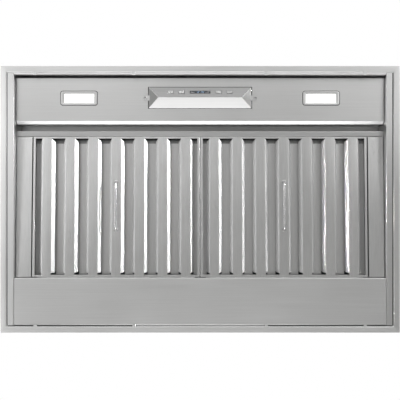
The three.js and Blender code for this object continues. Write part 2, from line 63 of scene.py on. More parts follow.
# Colours and shader nodes

def linear(hexColour):
    parts = [int(hexColour[i:i + 2], 16) / 255 for i in (1, 3, 5)]
    return [c / 12.92 if c <= 0.04045 else ((c + 0.055) / 1.055) ** 2.4 for c in parts] + [1]


# A shader node with its settings, its values and its links; a link comes from a socket, or from a node's first output.
# Sockets go by name or by number: 1 to 4 of a map range are its from and to values, and 2 and 3, 4 and 5 or 6 and 7
# of a mix are its two numbers, vectors or colours.
def addNode(tree, kind, values=None, links=None, **settings):
    node = tree.nodes.new("ShaderNode" + kind)
    for name, value in settings.items():
        setattr(node, name, value)
    for socket, value in (values or {}).items():
        node.inputs[socket].default_value = value
    for socket, source in (links or {}).items():
        tree.links.new(source.outputs[0] if isinstance(source, bpy.types.Node) else source, node.inputs[socket])
    return node


def newMaterial(name):
    material = bpy.data.materials.new(name)
    material.use_nodes = True
    material.node_tree.nodes.clear()
    return material, material.node_tree, addNode(material.node_tree, "TexCoord").outputs["Object"]


noiseSpan = {1: 0.3, 2: 0.7}  # a noise hardly ever leaves this range, so the map ranges start from it

# Stainless steel sheet, belt brushed: fine parallel lines that spread each highlight sideways, across the lines.
# The real lines are 0.2 mm wide, too fine for the picture, so they are drawn 1.6 mm wide and 140 mm long.
# The mitre is half the rim's width less half its depth: past it, a frame's strips run front to back.
brushing = {"lineWidth": 1.6, "lineLength": 140, "smudge": 110, "lineDepth": 0.003, "spread": 0.8, "mitre": 0.145}


def brushedStainless(name, grain, light="#c8c8c8", dark="#c2c2c2", smooth=0.32, coarse=0.36):
    material, tree, place = newMaterial(name)
    fine, long = 1000 / brushing["lineWidth"], 1000 / brushing["lineLength"]
    ways = {"x": ((long, fine, fine), (0.03, 1, 0.02)),  # how the noise is stretched, and the way across its lines
            "y": ((fine, long, fine), (1, 0.03, 0.02))}
    lines, across = [], []
    for axis in grain:  # two axes make a frame of strips, each brushed along its own length
        scale, direction = ways[axis]
        stretched = addNode(tree, "Mapping", {"Scale": scale}, {"Vector": place})
        lines.append(addNode(tree, "TexNoise", {"Scale": 1, "Detail": 3, "Roughness": 0.65}, {"Vector": stretched}))
        across.append(addNode(tree, "CombineXYZ", dict(zip("XYZ", direction))))
    if len(grain) == 2:
        split = addNode(tree, "SeparateXYZ", links={0: place})
        size = [addNode(tree, "Math", links={0: split.outputs[i]}, operation="ABSOLUTE") for i in (0, 1)]
        reach = addNode(tree, "Math", links={0: size[0], 1: size[1]}, operation="SUBTRACT")
        atSide = addNode(tree, "Math", {1: brushing["mitre"]}, {0: reach}, operation="GREATER_THAN")
        lines = addNode(tree, "Mix", links={0: atSide, 2: lines[0], 3: lines[1]})
        across = addNode(tree, "Mix", links={0: atSide, 4: across[0], 5: across[1]}, data_type="VECTOR").outputs[1]
    else:
        lines, across = lines[0], across[0]
    smudges = addNode(tree, "TexNoise", {"Scale": 1000 / brushing["smudge"], "Detail": 3, "Roughness": 0.45},
                      {"Vector": place})
    share = addNode(tree, "MapRange", {**noiseSpan, 3: 0, 4: 1}, {0: lines})
    colour = addNode(tree, "Mix", {6: linear(dark), 7: linear(light)}, {0: share}, data_type="RGBA").outputs[2]
    lineRoughness = addNode(tree, "MapRange", {**noiseSpan, 3: smooth, 4: coarse}, {0: lines})
    handling = addNode(tree, "MapRange", {**noiseSpan, 3: -0.012, 4: 0.018}, {0: smudges})
    roughness = addNode(tree, "Math", links={0: lineRoughness, 1: handling}, operation="ADD")
    bump = addNode(tree, "Bump", {"Strength": 0.13, "Distance": brushing["lineDepth"] * mm}, {"Height": lines})
    shader = addNode(tree, "BsdfPrincipled", {"Metallic": 1, "Anisotropic": brushing["spread"]},
                     {"Base Color": colour, "Roughness": roughness, "Normal": bump, "Tangent": across})
    addNode(tree, "OutputMaterial", links={"Surface": shader})
    return material


# Hot-dip galvanised steel: zinc crystals 8 to 13 mm across, each a slightly different dull grey.
def galvanisedSteel(name, light="#b9bec2", dark="#9aa0a5", crystal=11):
    material, tree, place = newMaterial(name)
    wobble = addNode(tree, "TexNoise", {"Scale": 1000 / 18, "Detail": 3}, {"Vector": place}).outputs["Color"]
    shifted = addNode(tree, "Mix", {0: 0.012}, {4: place, 5: wobble}, data_type="VECTOR").outputs[1]
    crystals = addNode(tree, "TexVoronoi", {"Scale": 1000 / crystal}, {"Vector": shifted})
    tone = addNode(tree, "SeparateColor", links={0: crystals.outputs["Color"]})
    feather = addNode(tree, "TexNoise", {"Scale": 1000 / 2.2, "Detail": 2, "Distortion": 1.5}, {"Vector": place})
    clouds = addNode(tree, "TexNoise", {"Scale": 1000 / 120, "Detail": 3}, {"Vector": place})
    crystalShare = addNode(tree, "MapRange", {3: 0, 4: 0.62}, {0: tone.outputs[0]})
    featherShare = addNode(tree, "MapRange", {**noiseSpan, 3: 0, 4: 0.38}, {0: feather})
    mixed = addNode(tree, "Math", links={0: crystalShare, 1: featherShare}, operation="ADD")
    colour = addNode(tree, "Mix", {6: linear(dark), 7: linear(light)}, {0: mixed}, data_type="RGBA").outputs[2]
    crystalRoughness = addNode(tree, "MapRange", {3: 0.36, 4: 0.52}, {0: tone.outputs[1]})
    cloudRoughness = addNode(tree, "MapRange", {**noiseSpan, 3: -0.03, 4: 0.06}, {0: clouds})
    roughness = addNode(tree, "Math", links={0: crystalRoughness, 1: cloudRoughness}, operation="ADD")
    bump = addNode(tree, "Bump", {"Strength": 0.12, "Distance": 0.02 * mm}, {"Height": mixed})
    shader = addNode(tree, "BsdfPrincipled", {"Metallic": 1},
                     {"Base Color": colour, "Roughness": roughness, "Normal": bump})
    addNode(tree, "OutputMaterial", links={"Surface": shader})
    return material


# Drawn and polished steel wire, plated screws: near mirror, with faint lines from the die.
def polishedSteel(name, colour="#d9d9d9", worn="#b4b4b4", rough=0.16):
    material, tree, place = newMaterial(name)
    stretched = addNode(tree, "Mapping", {"Scale": (1500, 60, 1500)}, {"Vector": place})
    dieLines = addNode(tree, "TexNoise", {"Scale": 1, "Detail": 2}, {"Vector": stretched})
    handling = addNode(tree, "TexNoise", {"Scale": 1000 / 14, "Detail": 4}, {"Vector": place})
    share = addNode(tree, "MapRange", {**noiseSpan, 3: 0, 4: 1}, {0: dieLines})
    tint = addNode(tree, "Mix", {6: linear(worn), 7: linear(colour)}, {0: share}, data_type="RGBA").outputs[2]
    lineRoughness = addNode(tree, "MapRange", {**noiseSpan, 3: rough - 0.03, 4: rough + 0.04}, {0: dieLines})
    wear = addNode(tree, "MapRange", {**noiseSpan, 3: 0, 4: 0.08}, {0: handling})
    roughness = addNode(tree, "Math", links={0: lineRoughness, 1: wear}, operation="ADD")
    shader = addNode(tree, "BsdfPrincipled", {"Metallic": 1}, {"Base Color": tint, "Roughness": roughness})
    addNode(tree, "OutputMaterial", links={"Surface": shader})
    return material


# Die-cast aluminium, tumbled: soft grey, with a grain of about 0.8 mm and no direction.
def castAluminium(name, light="#b3b6b8", dark="#989b9e", rough=0.45, grain=0.8):
    material, tree, place = newMaterial(name)
    pits = addNode(tree, "TexNoise", {"Scale": 1000 / grain, "Detail": 4, "Roughness": 0.6}, {"Vector": place})
    flow = addNode(tree, "TexNoise", {"Scale": 1000 / 35, "Detail": 3, "Distortion": 0.8}, {"Vector": place})
    pitShare = addNode(tree, "MapRange", {**noiseSpan, 3: 0, 4: 0.5}, {0: pits})
    flowShare = addNode(tree, "MapRange", {**noiseSpan, 3: 0, 4: 0.5}, {0: flow})
    share = addNode(tree, "Math", links={0: pitShare, 1: flowShare}, operation="ADD")
    colour = addNode(tree, "Mix", {6: linear(dark), 7: linear(light)}, {0: share}, data_type="RGBA").outputs[2]
    roughness = addNode(tree, "MapRange", {1: 0.2, 2: 0.8, 3: rough - 0.08, 4: rough + 0.08}, {0: share})
    bump = addNode(tree, "Bump", {"Strength": 0.3, "Distance": 0.03 * mm}, {"Height": pits})
    shader = addNode(tree, "BsdfPrincipled", {"Metallic": 1},
                     {"Base Color": colour, "Roughness": roughness, "Normal": bump})
    addNode(tree, "OutputMaterial", links={"Surface": shader})
    return material


# Injection-moulded plastic: IOR 1.46 to 1.58, with the spark-eroded texture of the mould, about 0.5 mm,
# and handling marks.
def mouldedPlastic(name, light, dark, rough, ior=1.5, texture=0.5, coat=0.0):
    material, tree, place = newMaterial(name)
    spark = addNode(tree, "TexNoise", {"Scale": 1000 / texture, "Detail": 2}, {"Vector": place})
    patches = addNode(tree, "TexNoise", {"Scale": 1000 / 22, "Detail": 3}, {"Vector": place})
    share = addNode(tree, "MapRange", {**noiseSpan, 3: 0, 4: 1}, {0: patches})
    colour = addNode(tree, "Mix", {6: linear(dark), 7: linear(light)}, {0: share}, data_type="RGBA").outputs[2]
    sparkRoughness = addNode(tree, "MapRange", {**noiseSpan, 3: rough - 0.04, 4: rough + 0.04}, {0: spark})
    marks = addNode(tree, "MapRange", {**noiseSpan, 3: -0.03, 4: 0.05}, {0: patches})
    roughness = addNode(tree, "Math", links={0: sparkRoughness, 1: marks}, operation="ADD")
    bump = addNode(tree, "Bump", {"Strength": 0.2, "Distance": 0.02 * mm}, {"Height": spark})
    shader = addNode(tree, "BsdfPrincipled", {"IOR": ior, "Coat Weight": coat, "Coat Roughness": 0.08},
                     {"Base Color": colour, "Roughness": roughness, "Normal": bump})
    addNode(tree, "OutputMaterial", links={"Surface": shader})
    return material


# Opal acrylic with light behind it: even white, with faint pools where the LED chips sit behind it.
def litDiffuser(name, colour="#f4f4f1", glow=0.85):
    material, tree, place = newMaterial(name)
    frosting = addNode(tree, "TexNoise", {"Scale": 1000 / 0.7, "Detail": 2}, {"Vector": place})
    pools = addNode(tree, "TexNoise", {"Scale": 1000 / 16, "Detail": 1}, {"Vector": place})
    share = addNode(tree, "MapRange", {**noiseSpan, 3: 0, 4: 1}, {0: pools})
    acrylic = addNode(tree, "Mix", {6: linear("#ececea"), 7: linear(colour)}, {0: share}, data_type="RGBA").outputs[2]
    lit = addNode(tree, "Mix", {6: linear("#fbfbf8"), 7: linear("#ffffff")}, {0: share}, data_type="RGBA").outputs[2]
    bump = addNode(tree, "Bump", {"Strength": 0.15, "Distance": 0.02 * mm}, {"Height": frosting})
    shader = addNode(tree, "BsdfPrincipled", {"IOR": 1.49, "Roughness": 0.32, "Emission Strength": glow},
                     {"Base Color": acrylic, "Emission Color": lit, "Normal": bump})
    addNode(tree, "OutputMaterial", links={"Surface": shader})
    return material


# Glass-fibre board under solder mask: green lacquer with darker lanes where copper tracks run under it.
def solderMask(name):
    material, tree, place = newMaterial(name)
    tracks = addNode(tree, "TexBrick", {"Scale": 1000 / 9, "Color1": linear("#1d5a38"), "Color2": linear("#174a2e"),
                     "Mortar": linear("#2c7a4c"), "Mortar Size": 0.03, "Brick Width": 0.7}, {"Vector": place})
    weave = addNode(tree, "TexNoise", {"Scale": 1000 / 0.6}, {"Vector": place})
    bump = addNode(tree, "Bump", {"Strength": 0.15, "Distance": 0.02 * mm}, {"Height": weave})
    shader = addNode(tree, "BsdfPrincipled",
                     {"IOR": 1.5, "Roughness": 0.35, "Coat Weight": 0.4, "Coat Roughness": 0.15},
                     {"Base Color": tracks, "Normal": bump})
    addNode(tree, "OutputMaterial", links={"Surface": shader})
    return material


# LED digits behind smoked polycarbonate: each bar glows, a touch brighter in places.
def glowingDigits(name, colour="#b4c4d4", edge="#8fa6bd", glow=0.8):
    material, tree, place = newMaterial(name)
    pools = addNode(tree, "TexNoise", {"Scale": 1000 / 1.5}, {"Vector": place})
    share = addNode(tree, "MapRange", {**noiseSpan, 3: 0, 4: 1}, {0: pools})
    lit = addNode(tree, "Mix", {6: linear(edge), 7: linear(colour)}, {0: share}, data_type="RGBA").outputs[2]
    filterTint = addNode(tree, "Mix", {6: linear("#30506f"), 7: linear("#45688a")}, {0: share},
                         data_type="RGBA").outputs[2]
    shader = addNode(tree, "BsdfPrincipled", {"IOR": 1.58, "Roughness": 0.4, "Emission Strength": glow},
                     {"Base Color": filterTint, "Emission Color": lit})
    addNode(tree, "OutputMaterial", links={"Surface": shader})
    return material


steelAcross = brushedStainless("brushedStainlessAcross", "x")
steelAlong = brushedStainless("brushedStainlessAlong", "y")
# The rim's copy is painted lighter than the other sheets: painted light, for a brighter band
steelRimPaintedLight = brushedStainless("brushedStainlessRimPaintedLight", "xy", light="#d3d3d3", dark="#cacaca")
steelFilter = brushedStainless("brushedStainlessFilter", "y", light="#c9c9c9", dark="#bfbfbf", smooth=0.275,
                               coarse=0.335)
# A guess: flared edges duller than the flat sheet, and painted lighter as a painted highlight, so that they are as
# bright as in the photo
steelFlarePaintedLight = brushedStainless("brushedStainlessFlarePaintedLight", "y", light="#e0e0e0", dark="#d6d6d6", smooth=0.46, coarse=0.52)
steelPanel = brushedStainless("brushedStainlessPanel", "x", light="#c6c6c6", dark="#bfbfbf")
# The ledge's copy is painted darker: painted shade in the recess behind the panel
steelLedgePaintedShade = brushedStainless("brushedStainlessLedgePaintedShade", "x", light="#b4b4b4", dark="#aaaaaa")
# Guesses too, made by brightness in the photo: a dull inside on the front wall, painted lighter as painted light, and
# on the control cover polished ends and a key face painted darker as painted shade
steelDullPaintedLight = brushedStainless("dullStainlessWallPaintedLight", "x", light="#e0e0e0", dark="#d4d4d4", smooth=0.58, coarse=0.64)
steelPolished = brushedStainless("polishedStainlessEnds", "x", smooth=0.1, coarse=0.12)
steelKeysPaintedShade = brushedStainless("brushedStainlessKeyFacePaintedShade", "x", light="#a8a8a8", dark="#9e9e9e")
# The back row's copy is painted lighter than the front row: painted light in the shaded gaps
steelBackPaintedLight = brushedStainless("brushedStainlessBackPaintedLight", "y", light="#d6d6d6", dark="#cccccc")
zinc = galvanisedSteel("galvanisedSteel")
# The plenum's copy is painted darker: painted shade for the dark inside of the hood
zincPlenumPaintedShade = galvanisedSteel("galvanisedPlenumPaintedShade", light="#8b9093", dark="#6f7478", crystal=13)
# The tie's copy is painted darker grey: painted shade on a strip that lies in shade
zincTiePaintedShade = galvanisedSteel("galvanisedTiePaintedShade", light="#a9a9a9", dark="#919191", crystal=9)
zincBright = galvanisedSteel("galvanisedCollar", light="#c3c8cb", dark="#a8adb1", crystal=8)
wireSteel = polishedSteel("polishedWire")
screwSteel = polishedSteel("platedScrews", colour="#c9c9c9", worn="#9b9b9b", rough=0.24)
castGrey = castAluminium("castAluminium")
flapGrey = castAluminium("rolledAluminium", light="#c0c3c5", dark="#a9acaf", rough=0.36, grain=2.5)
buttonGrey = mouldedPlastic("silverMouldedButtons", "#a3a3a3", "#989898", 0.42)
legendWhite = mouldedPlastic("printedField", "#c8c8c8", "#bcbcbc", 0.85)
legendGrey = mouldedPlastic("printedLegends", "#7c7c7c", "#707070", 0.5)
smoked = mouldedPlastic("smokedPolycarbonate", "#34383c", "#292c30", 0.18, ior=1.58, coat=0.5)
digitGlow = glowingDigits("ledDigits")
opal = litDiffuser("litOpalAcrylic")
boardGreen = solderMask("solderMaskBoard")
boardWhite = mouldedPlastic("whiteBoard", "#eef0ec", "#e2e4e0", 0.4)
driverWhite = mouldedPlastic("whiteMouldedCase", "#e8e8e4", "#dadad5", 0.5, texture=0.9)
chipBlack = mouldedPlastic("chipEpoxy", "#26272a", "#1b1c1e", 0.45)
motorBlack = mouldedPlastic("stovedMotorEnamel", "#2b2d30", "#202225", 0.38, texture=1.4, coat=0.3)
# The same black stands for foam gaskets and for painted shade in gaps, under the control housing and in screw sockets
gasketAndShadeBlack = mouldedPlastic("foamGasketAndPaintedShade", "#1e1e1e", "#151515", 0.95, texture=1.2)
print("materials ready:", len(bpy.data.materials))


# Mesh tools

slotOf = {part["node"]: part["material_slot"] for part in frame["record"]["subparts"]}


# The mesh becomes a piece on its body. It stands for a CAD node, which it hides, or it is an extra.
def finishPiece(bm, name, material, replaced=None, place=None, body="hood", crease=32):
    bmesh.ops.recalc_face_normals(bm, faces=bm.faces)
    if place is not None:
        bmesh.ops.transform(bm, matrix=place, verts=bm.verts)
    mesh = bpy.data.meshes.new(name)
    bm.to_mesh(mesh)
    bm.free()
    mesh.transform(Matrix.Scale(mm, 4))
    mesh.shade_smooth()
    if crease:
        mesh.set_sharp_from_angle(angle=math.radians(crease))
    mesh.materials.append(material)
    piece = bpy.data.objects.new(name, mesh)
    scene.collection.objects.link(piece)
    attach(piece, body)
    if replaced:
        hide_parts(replaced)
    return piece


# A CAD sheet with real folds: an inner radius at each fold, and its cut edges broken.
def softened(node, material, inner=0.8, sheet=1.2, edge=0.22, thin=2.0, steps=3):
    bm = bmesh.new()
    bm.from_mesh(cad[node].data)
    bmesh.ops.scale(bm, vec=(1000, 1000, 1000), verts=bm.verts)
    bmesh.ops.remove_doubles(bm, verts=bm.verts, dist=0.004)
    bmesh.ops.dissolve_limit(bm, angle_limit=math.radians(1), verts=bm.verts[:], edges=bm.edges[:])
    weights = bm.edges.layers.float.new("bevel_weight_edge")
    widest = inner + sheet
    for line in bm.edges:
        if len(line.link_faces) != 2:
            continue
        turn = line.calc_face_angle_signed()
        if abs(turn) < math.radians(20):
            continue
        narrow = min(2 * face.calc_area() / sum(e.calc_length() for e in face.edges) for face in line.link_faces)
        if narrow < thin:
            line[weights] = edge / widest if turn > 0 else 0
        else:
            radius = inner + sheet if turn > 0 else inner
            line[weights] = min(1, radius * math.tan(abs(turn) / 2) / widest)
    piece = finishPiece(bm, node + "Sheet", material, node, body=cad[node]["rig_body"], crease=None)
    rounding = piece.modifiers.new("folds", "BEVEL")
    rounding.width = widest * mm
    rounding.segments = steps
    rounding.limit_method = "WEIGHT"
    rounding.use_clamp_overlap = False
    flatter = piece.modifiers.new("flatter", "WEIGHTED_NORMAL")  # keeps the flat of the sheet flat up to its folds
    flatter.weight = 100
    flatter.thresh = 0.01
    return piece


def at(x, y, z):  # a place that is only shifted
    return Matrix.Translation((x, y, z))


def circle(radius, count):
    angles = [i * math.tau / count for i in range(count)]
    return [(radius * math.cos(a), radius * math.sin(a)) for a in angles]


def roundedRectangle(halfX, halfY, radius, steps=5):
    radius = max(min(radius, halfX, halfY), 0.001)
    points = []
    for quarter, (sx, sy) in enumerate([(1, 1), (-1, 1), (-1, -1), (1, -1)]):
        for i in range(steps + 1):
            angle = (quarter + i / steps) * math.pi / 2
            points.append((sx * (halfX - radius) + radius * math.cos(angle),
                           sy * (halfY - radius) + radius * math.sin(angle)))
    return points


# Skin over a stack of outlines that have the same number of points; a closed stack is a ring.
def loft(bm, outlines, closed=False, place=None):
    place = place or Matrix.Identity(4)
    rows = [[bm.verts.new(place @ Vector(p)) for p in outline] for outline in outlines]
    count = len(rows[0])
    pairs = list(zip(rows, rows[1:])) + ([(rows[-1], rows[0])] if closed else [])
    for lower, upper in pairs:
        for i in range(count):
            j = (i + 1) % count
            bm.faces.new((lower[i], lower[j], upper[j], upper[i]))
    if not closed:
        bm.faces.new(rows[0][::-1])
        bm.faces.new(rows[-1])


def stack(levels, steps=5):  # each level is half width, half depth, corner radius, height
    return [[(x, y, level[3]) for x, y in roundedRectangle(level[0], level[1], level[2], steps)] for level in levels]


def lathe(bm, profile, count, place=None, closed=False):  # profile of radius, height about Z
    loft(bm, [[(x, y, h) for x, y in circle(max(r, 0.001), count)] for r, h in profile], closed, place)


def along(start, end):  # a place whose Z runs level from start to end
    start, end = Vector(start), Vector(end)
    forward = (end - start).normalized()
    side = Vector((0, 0, 1)).cross(forward).normalized()
    turn = Matrix((side, forward.cross(side), forward)).transposed().to_4x4()
    return Matrix.Translation(start) @ turn


# A round wire along a route; the frame is carried along, so the wire doesn't twist.
def wire(bm, route, radius, count=16):
    route = [Vector(p) for p in route]
    tangents = [(route[min(i + 1, len(route) - 1)] - route[max(i - 1, 0)]).normalized() for i in range(len(route))]
    normal = tangents[0].orthogonal().normalized()
    rows = []
    for point, tangent in zip(route, tangents):
        normal = (normal - tangent * normal.dot(tangent)).normalized()
        other = tangent.cross(normal)
        rows.append([tuple(point + radius * (x * normal + y * other)) for x, y in circle(1, count)])
    loft(bm, rows)


# Both faces of a folded sheet: the path is one face, the metal is on its left, and each fold has an inner radius.
def foldedFaces(path, thick, inner, steps=4):
    path = [Vector(p) for p in path]
    sides = [(b - a).normalized() for a, b in zip(path, path[1:])]
    left = [Vector((-s.y, s.x)) for s in sides]
    first, second = [path[0]], [path[0] + left[0] * thick]
    for i in range(1, len(path) - 1):
        before, after = sides[i - 1], sides[i]
        turn = math.atan2(before.x * after.y - before.y * after.x, before.dot(after))
        radius = inner + (thick if turn > 0 else 0)  # radius on the path's own face
        cutBack = radius * math.tan(abs(turn) / 2)
        start = path[i] - before * cutBack
        centre = start + left[i - 1] * math.copysign(radius, turn)
        for k in range(steps + 1):
            angle = turn * k / steps
            normal = Vector((left[i - 1].x * math.cos(angle) - left[i - 1].y * math.sin(angle),
                             left[i - 1].x * math.sin(angle) + left[i - 1].y * math.cos(angle)))
            first.append(centre - normal * math.copysign(radius, turn))
            second.append(first[-1] + normal * thick)
    first.append(path[-1])
    second.append(path[-1] + left[-1] * thick)
    return first, second


# A folded sheet run along Y; each end may be cut by a function of x and z.
def runAlongY(bm, path, thick, inner, front, rear, shift=0.0, steps=4):
    faces = foldedFaces(path, thick, inner, steps)
    rows = []
    for limit in (front, rear):
        cutAt = limit if callable(limit) else lambda x, z: limit
        rows.append([[bm.verts.new((p.x + shift, cutAt(p.x, p.y), p.y)) for p in face] for face in faces])
    (a, b), (c, d) = rows
    for i in range(len(a) - 1):
        bm.faces.new((a[i], a[i + 1], c[i + 1], c[i]))
        bm.faces.new((b[i + 1], b[i], d[i], d[i + 1]))
    bm.faces.new((a[0], c[0], d[0], b[0]))
    bm.faces.new((a[-1], b[-1], d[-1], c[-1]))
    for a, b in rows:
        for i in range(len(a) - 1):
            bm.faces.new((a[i], b[i], b[i + 1], a[i + 1]))


# Pan-head screw with a cross recess; the head rises along the place's Z.
def addScrew(bm, place, radius=3.6, height=2.2, count=24):
    rings = [[(x, y, depth) for x, y in circle(size, count)]
             for size, depth in ((radius, 0), (radius * 0.99, height * 0.45), (radius * 0.8, height * 0.85))]
    for depth in (height, height * 0.35):
        ring = []
        for x, y in circle(1, count):
            arm = max(abs(x), abs(y))  # nearly 1 along the four arms of the cross
            reach = radius * (0.56 if arm > 0.97 else 0.18 if arm < 0.80 else 0.24)
            ring.append((reach * x, reach * y, depth))
        rings.append(ring)
    loft(bm, rings, place=place)


def addRivet(bm, place, radius=3.2, height=1.1):
    shape = ((1, 0), (0.98, 0.3), (0.8, 0.75), (0.45, 1), (0.28, 0.8))
    lathe(bm, [(radius * r, height * h) for r, h in shape], 20, place)


def addBox(bm, low, high, radius=0.4, place=None):  # small block with broken edges
    centre = [(a + b) / 2 for a, b in zip(low, high)]
    half = [(b - a) / 2 for a, b in zip(low, high)]
    small = (half[0] - radius, half[1] - radius, radius * 0.5)
    large = (half[0], half[1], radius)
    levels = [(*small, low[2]), (*large, low[2] + radius), (*large, high[2] - radius), (*small, high[2])]
    move = at(centre[0], centre[1], 0)
    loft(bm, stack(levels, 2), place=(place @ move) if place is not None else move)


# A rib pressed out of a flat sheet: a low rounded ridge that fades at both ends.
def addBead(bm, start, end, outward, width=9.0, height=1.6):
    start, end, outward = Vector(start), Vector(end), Vector(outward)
    length = (end - start).length
    forward = (end - start).normalized()
    side = outward.cross(forward)
    rows = []
    fade = width / length
    near = [fade * k for k in (0, 0.25, 0.5, 0.8, 1.2)]
    for t in near + [0.25, 0.5, 0.75] + [1 - step for step in near[::-1]]:
        rise = math.sin(min(min(t, 1 - t) / fade / 1.2, 1) * math.pi / 2)
        row = []
        for k in range(-4, 5):  # across the rib
            out = side * (width / 2 * (k / 4) * max(rise, 0.05))
            up = outward * (height * rise * (0.5 + 0.5 * math.cos(k / 4 * math.pi)) - 0.05)
            row.append(bm.verts.new(start + forward * (t * length) + out + up))
        rows.append(row)
    for a, b in zip(rows, rows[1:]):
        for i in range(8):
            bm.faces.new((a[i], a[i + 1], b[i + 1], b[i]))


print("mesh tools ready")


# Rim: a flat band with a leg folded up behind it, the shelf that carries the walls, and the tabs that locate them
rim = {"halfX": 422.7, "halfY": 277.7, "band": 13.8, "thick": 1.5, "leg": 14, "fold": 0.9, "corner": 1.2,
       "tabs": (-361, -144.5, 144.5, 361), "tabWidth": 7.0}


def makeRim():
    bm = bmesh.new()
    outer, thick = rim["fold"] + rim["thick"], rim["thick"]
    quarter = [math.pi / 2 * k / 5 for k in range(6)]
    arc = lambda radius: [(outer - radius * math.cos(a), outer - radius * math.sin(a)) for a in quarter]
    band, leg, broken = rim["band"], rim["leg"], 0.12
    profile = arc(outer)[::-1] + [(0, leg - 0.3), (0.3, leg), (thick - 0.3, leg), (thick, leg - 0.3)] + arc(rim["fold"])
    profile += [(band - broken, thick), (band, thick - broken), (band, broken), (band - broken, 0)]
    levels = [(rim["halfX"] + o, rim["halfY"] + o, rim["corner"], z) for o, z in profile]
    loft(bm, stack(levels, 4), closed=True)
    shelf = [(410.4, 276.8, 2.8), (424.0, 279.0, 2.8), (424.0, 279.0, 4), (410.4, 276.8, 4)]
    loft(bm, stack([(x, y, 1, z) for x, y, z in shelf], 4), closed=True)
    for x in rim["tabs"]:
        for y, half in ((-275.95, 3.75), (276.7, 3.0)):
            wide = rim["tabWidth"] / 2
            tab = [(wide - 0.3, half - 0.3, 1, 0), (wide, half, 1.2, 0.25), (wide, half, 1.2, 0.9)]
            loft(bm, stack(tab, 3), place=at(x, y, 0))
            lathe(bm, [(1.5, 0.1), (1.4, -0.02), (1.1, -0.05), (0.8, 0.05)], 16, at(x, y, 0.07))
    finishPiece(bm, "rimBand", steelRimPaintedLight, "trim_frame")
    bm = bmesh.new()  # black strips beside the side walls and along the back: painted shade standing for the dark gaps
    addBox(bm, (420.7, -276.5, 0.85), (422.6, 275.6, 1.15), 0.1)
    addBox(bm, (-422.65, -276.5, 0.85), (-421.5, 275.6, 1.15), 0.1)
    for low, high in ((-420.5, -140), (140, 420.5)):
        addBox(bm, (low, 275.95, 0.85), (high, 277.6, 1.15), 0.1)
    finishPiece(bm, "rimGapPaintedShade", gasketAndShadeBlack)


makeRim()

# Housing sheets, each with its finish and the inner radius of its folds
sheets = {"left_wall": (steelAlong, 0.3), "right_wall": (steelAlong, 0.3), "front_wall": (steelDullPaintedLight, 0.3),
          "rear_wall": (steelAcross, 0.8), "plenum_top": (zincPlenumPaintedShade, 0.8), "control_fascia": (steelAcross, 0.6),
          "filter_ledge": (steelLedgePaintedShade, 0.6), "rear_pan": (steelPanel, 0.7), "grease_tray": (zinc, 0.8)}
for node, (finish, inner) in sheets.items():
    softened(node, finish, inner)
for hand in ("left", "right"):
    softened(f"filler_{hand}", steelFilter, inner=0.6, sheet=1.0)
    softened(f"mounting_bracket_{hand}", zinc, inner=1.5, sheet=2.0, thin=2.6)
print("rim and housing sheets ready")


# Baffle filters, drawn flat: y = 0 is the lip they hang on, the front is at -309, and z = 0.5 is their underside
filters = {"centre": 185.4, "lipY": 172, "lipZ": 9.4, "slope": -2.406, "plane": 0.5, "metal": 1.0, "count": 7,
           "pitch": 51.3, "face": 21.5, "flare": 5.9, "high": 13, "front": -307.5, "rear": -5.2, "mitre": 0.45,
           "drain": 4.6, "backFace": 28, "level": 24.2, "backFront": -299.4, "backRear": -12.5, "tongue": 9,
           "inside": 183.3}
handleWire = {"length": 110, "thick": 5.8, "standoff": 10.9, "bend": 8.5, "middle": -158, "washer": 4.9}


def filterPlace(x):
    return at(x, filters["lipY"], filters["lipZ"]) @ Matrix.Rotation(math.radians(filters["slope"]), 4, "X")


def frontRow(bm):
    f = filters
    plane, half = f["plane"], f["face"] / 2
    wide, high = half + f["flare"], plane + f["high"]
    path = [(-wide, high), (-half, plane), (half, plane), (wide, high)]
    # the flares are cut back diagonally at the front and stop short at the rear
    mitred = lambda x, z: f["front"] + (0.8 + f["mitre"] * (z - plane) if z - plane > 0.2 else 0)
    drained = lambda x, z: f["rear"] - (f["drain"] + 0.12 * (z - plane) if z - plane > 0.2 else 0)
    for i in range(f["count"]):
        x = (i - (f["count"] - 1) / 2) * f["pitch"]
        runAlongY(bm, path, f["metal"], 0.7, mitred, drained, x, steps=5)
        for y in (f["front"] - 1, f["rear"] - 1.5):  # joggle up to the strip that ties the row
            addBox(bm, (x - half + 0.5, y, plane + 0.5), (x + half - 0.5, y + 2.5, plane + 2.3), 0.3)
    for near, far in ((-308.3, -307.8), (f["rear"] - 0.2, -2.4)):
        addBox(bm, (-181.9, near, plane + 1.3), (181.9, far, plane + 2.3), 0.2)


def backRow(bm):
    f = filters
    half, foot = f["backFace"] / 2, f["plane"] + 9
    for i in range(f["count"] + 1):
        x = (i - f["count"] / 2) * f["pitch"]
        low, high = max(-half, -f["inside"] - x), min(half, f["inside"] - x)
        path = [(low, f["level"]), (high, f["level"])]
        if low == -half:
            path = [(-half, foot)] + path
        if high == half:
            path = path + [(half, foot)]
        runAlongY(bm, path, f["metal"], 1.0, f["backFront"], f["backRear"], x, steps=4)
        low, high = max(-f["tongue"], low), min(f["tongue"], high)
        addBox(bm, (x + low, f["backRear"] - 0.5, f["level"]), (x + high, -3.1, f["level"] + 1), 0.2)
    addBox(bm, (-f["inside"], -4.4, f["level"] - 0.6), (f["inside"], -3.1, f["level"] + 1), 0.2)


def handleRoute():
    h = handleWire
    top, low = filters["plane"] - 0.3, filters["plane"] - h["standoff"]
    reach, bend = h["length"] / 2 - h["thick"] / 2, h["bend"]
    side = [(0, h["middle"] - reach, top - (top - low - bend) * k / 3) for k in range(3)]
    side += [(0, h["middle"] - reach + bend - bend * math.cos(a), low + bend - bend * math.sin(a))
             for a in (math.pi / 2 * k / 8 for k in range(9))]
    middle = [(0, h["middle"] + (reach - bend) * t, low) for t in (-0.6, -0.2, 0.2, 0.6)]
    return side + middle + [(x, 2 * h["middle"] - y, z) for x, y, z in side[::-1]]


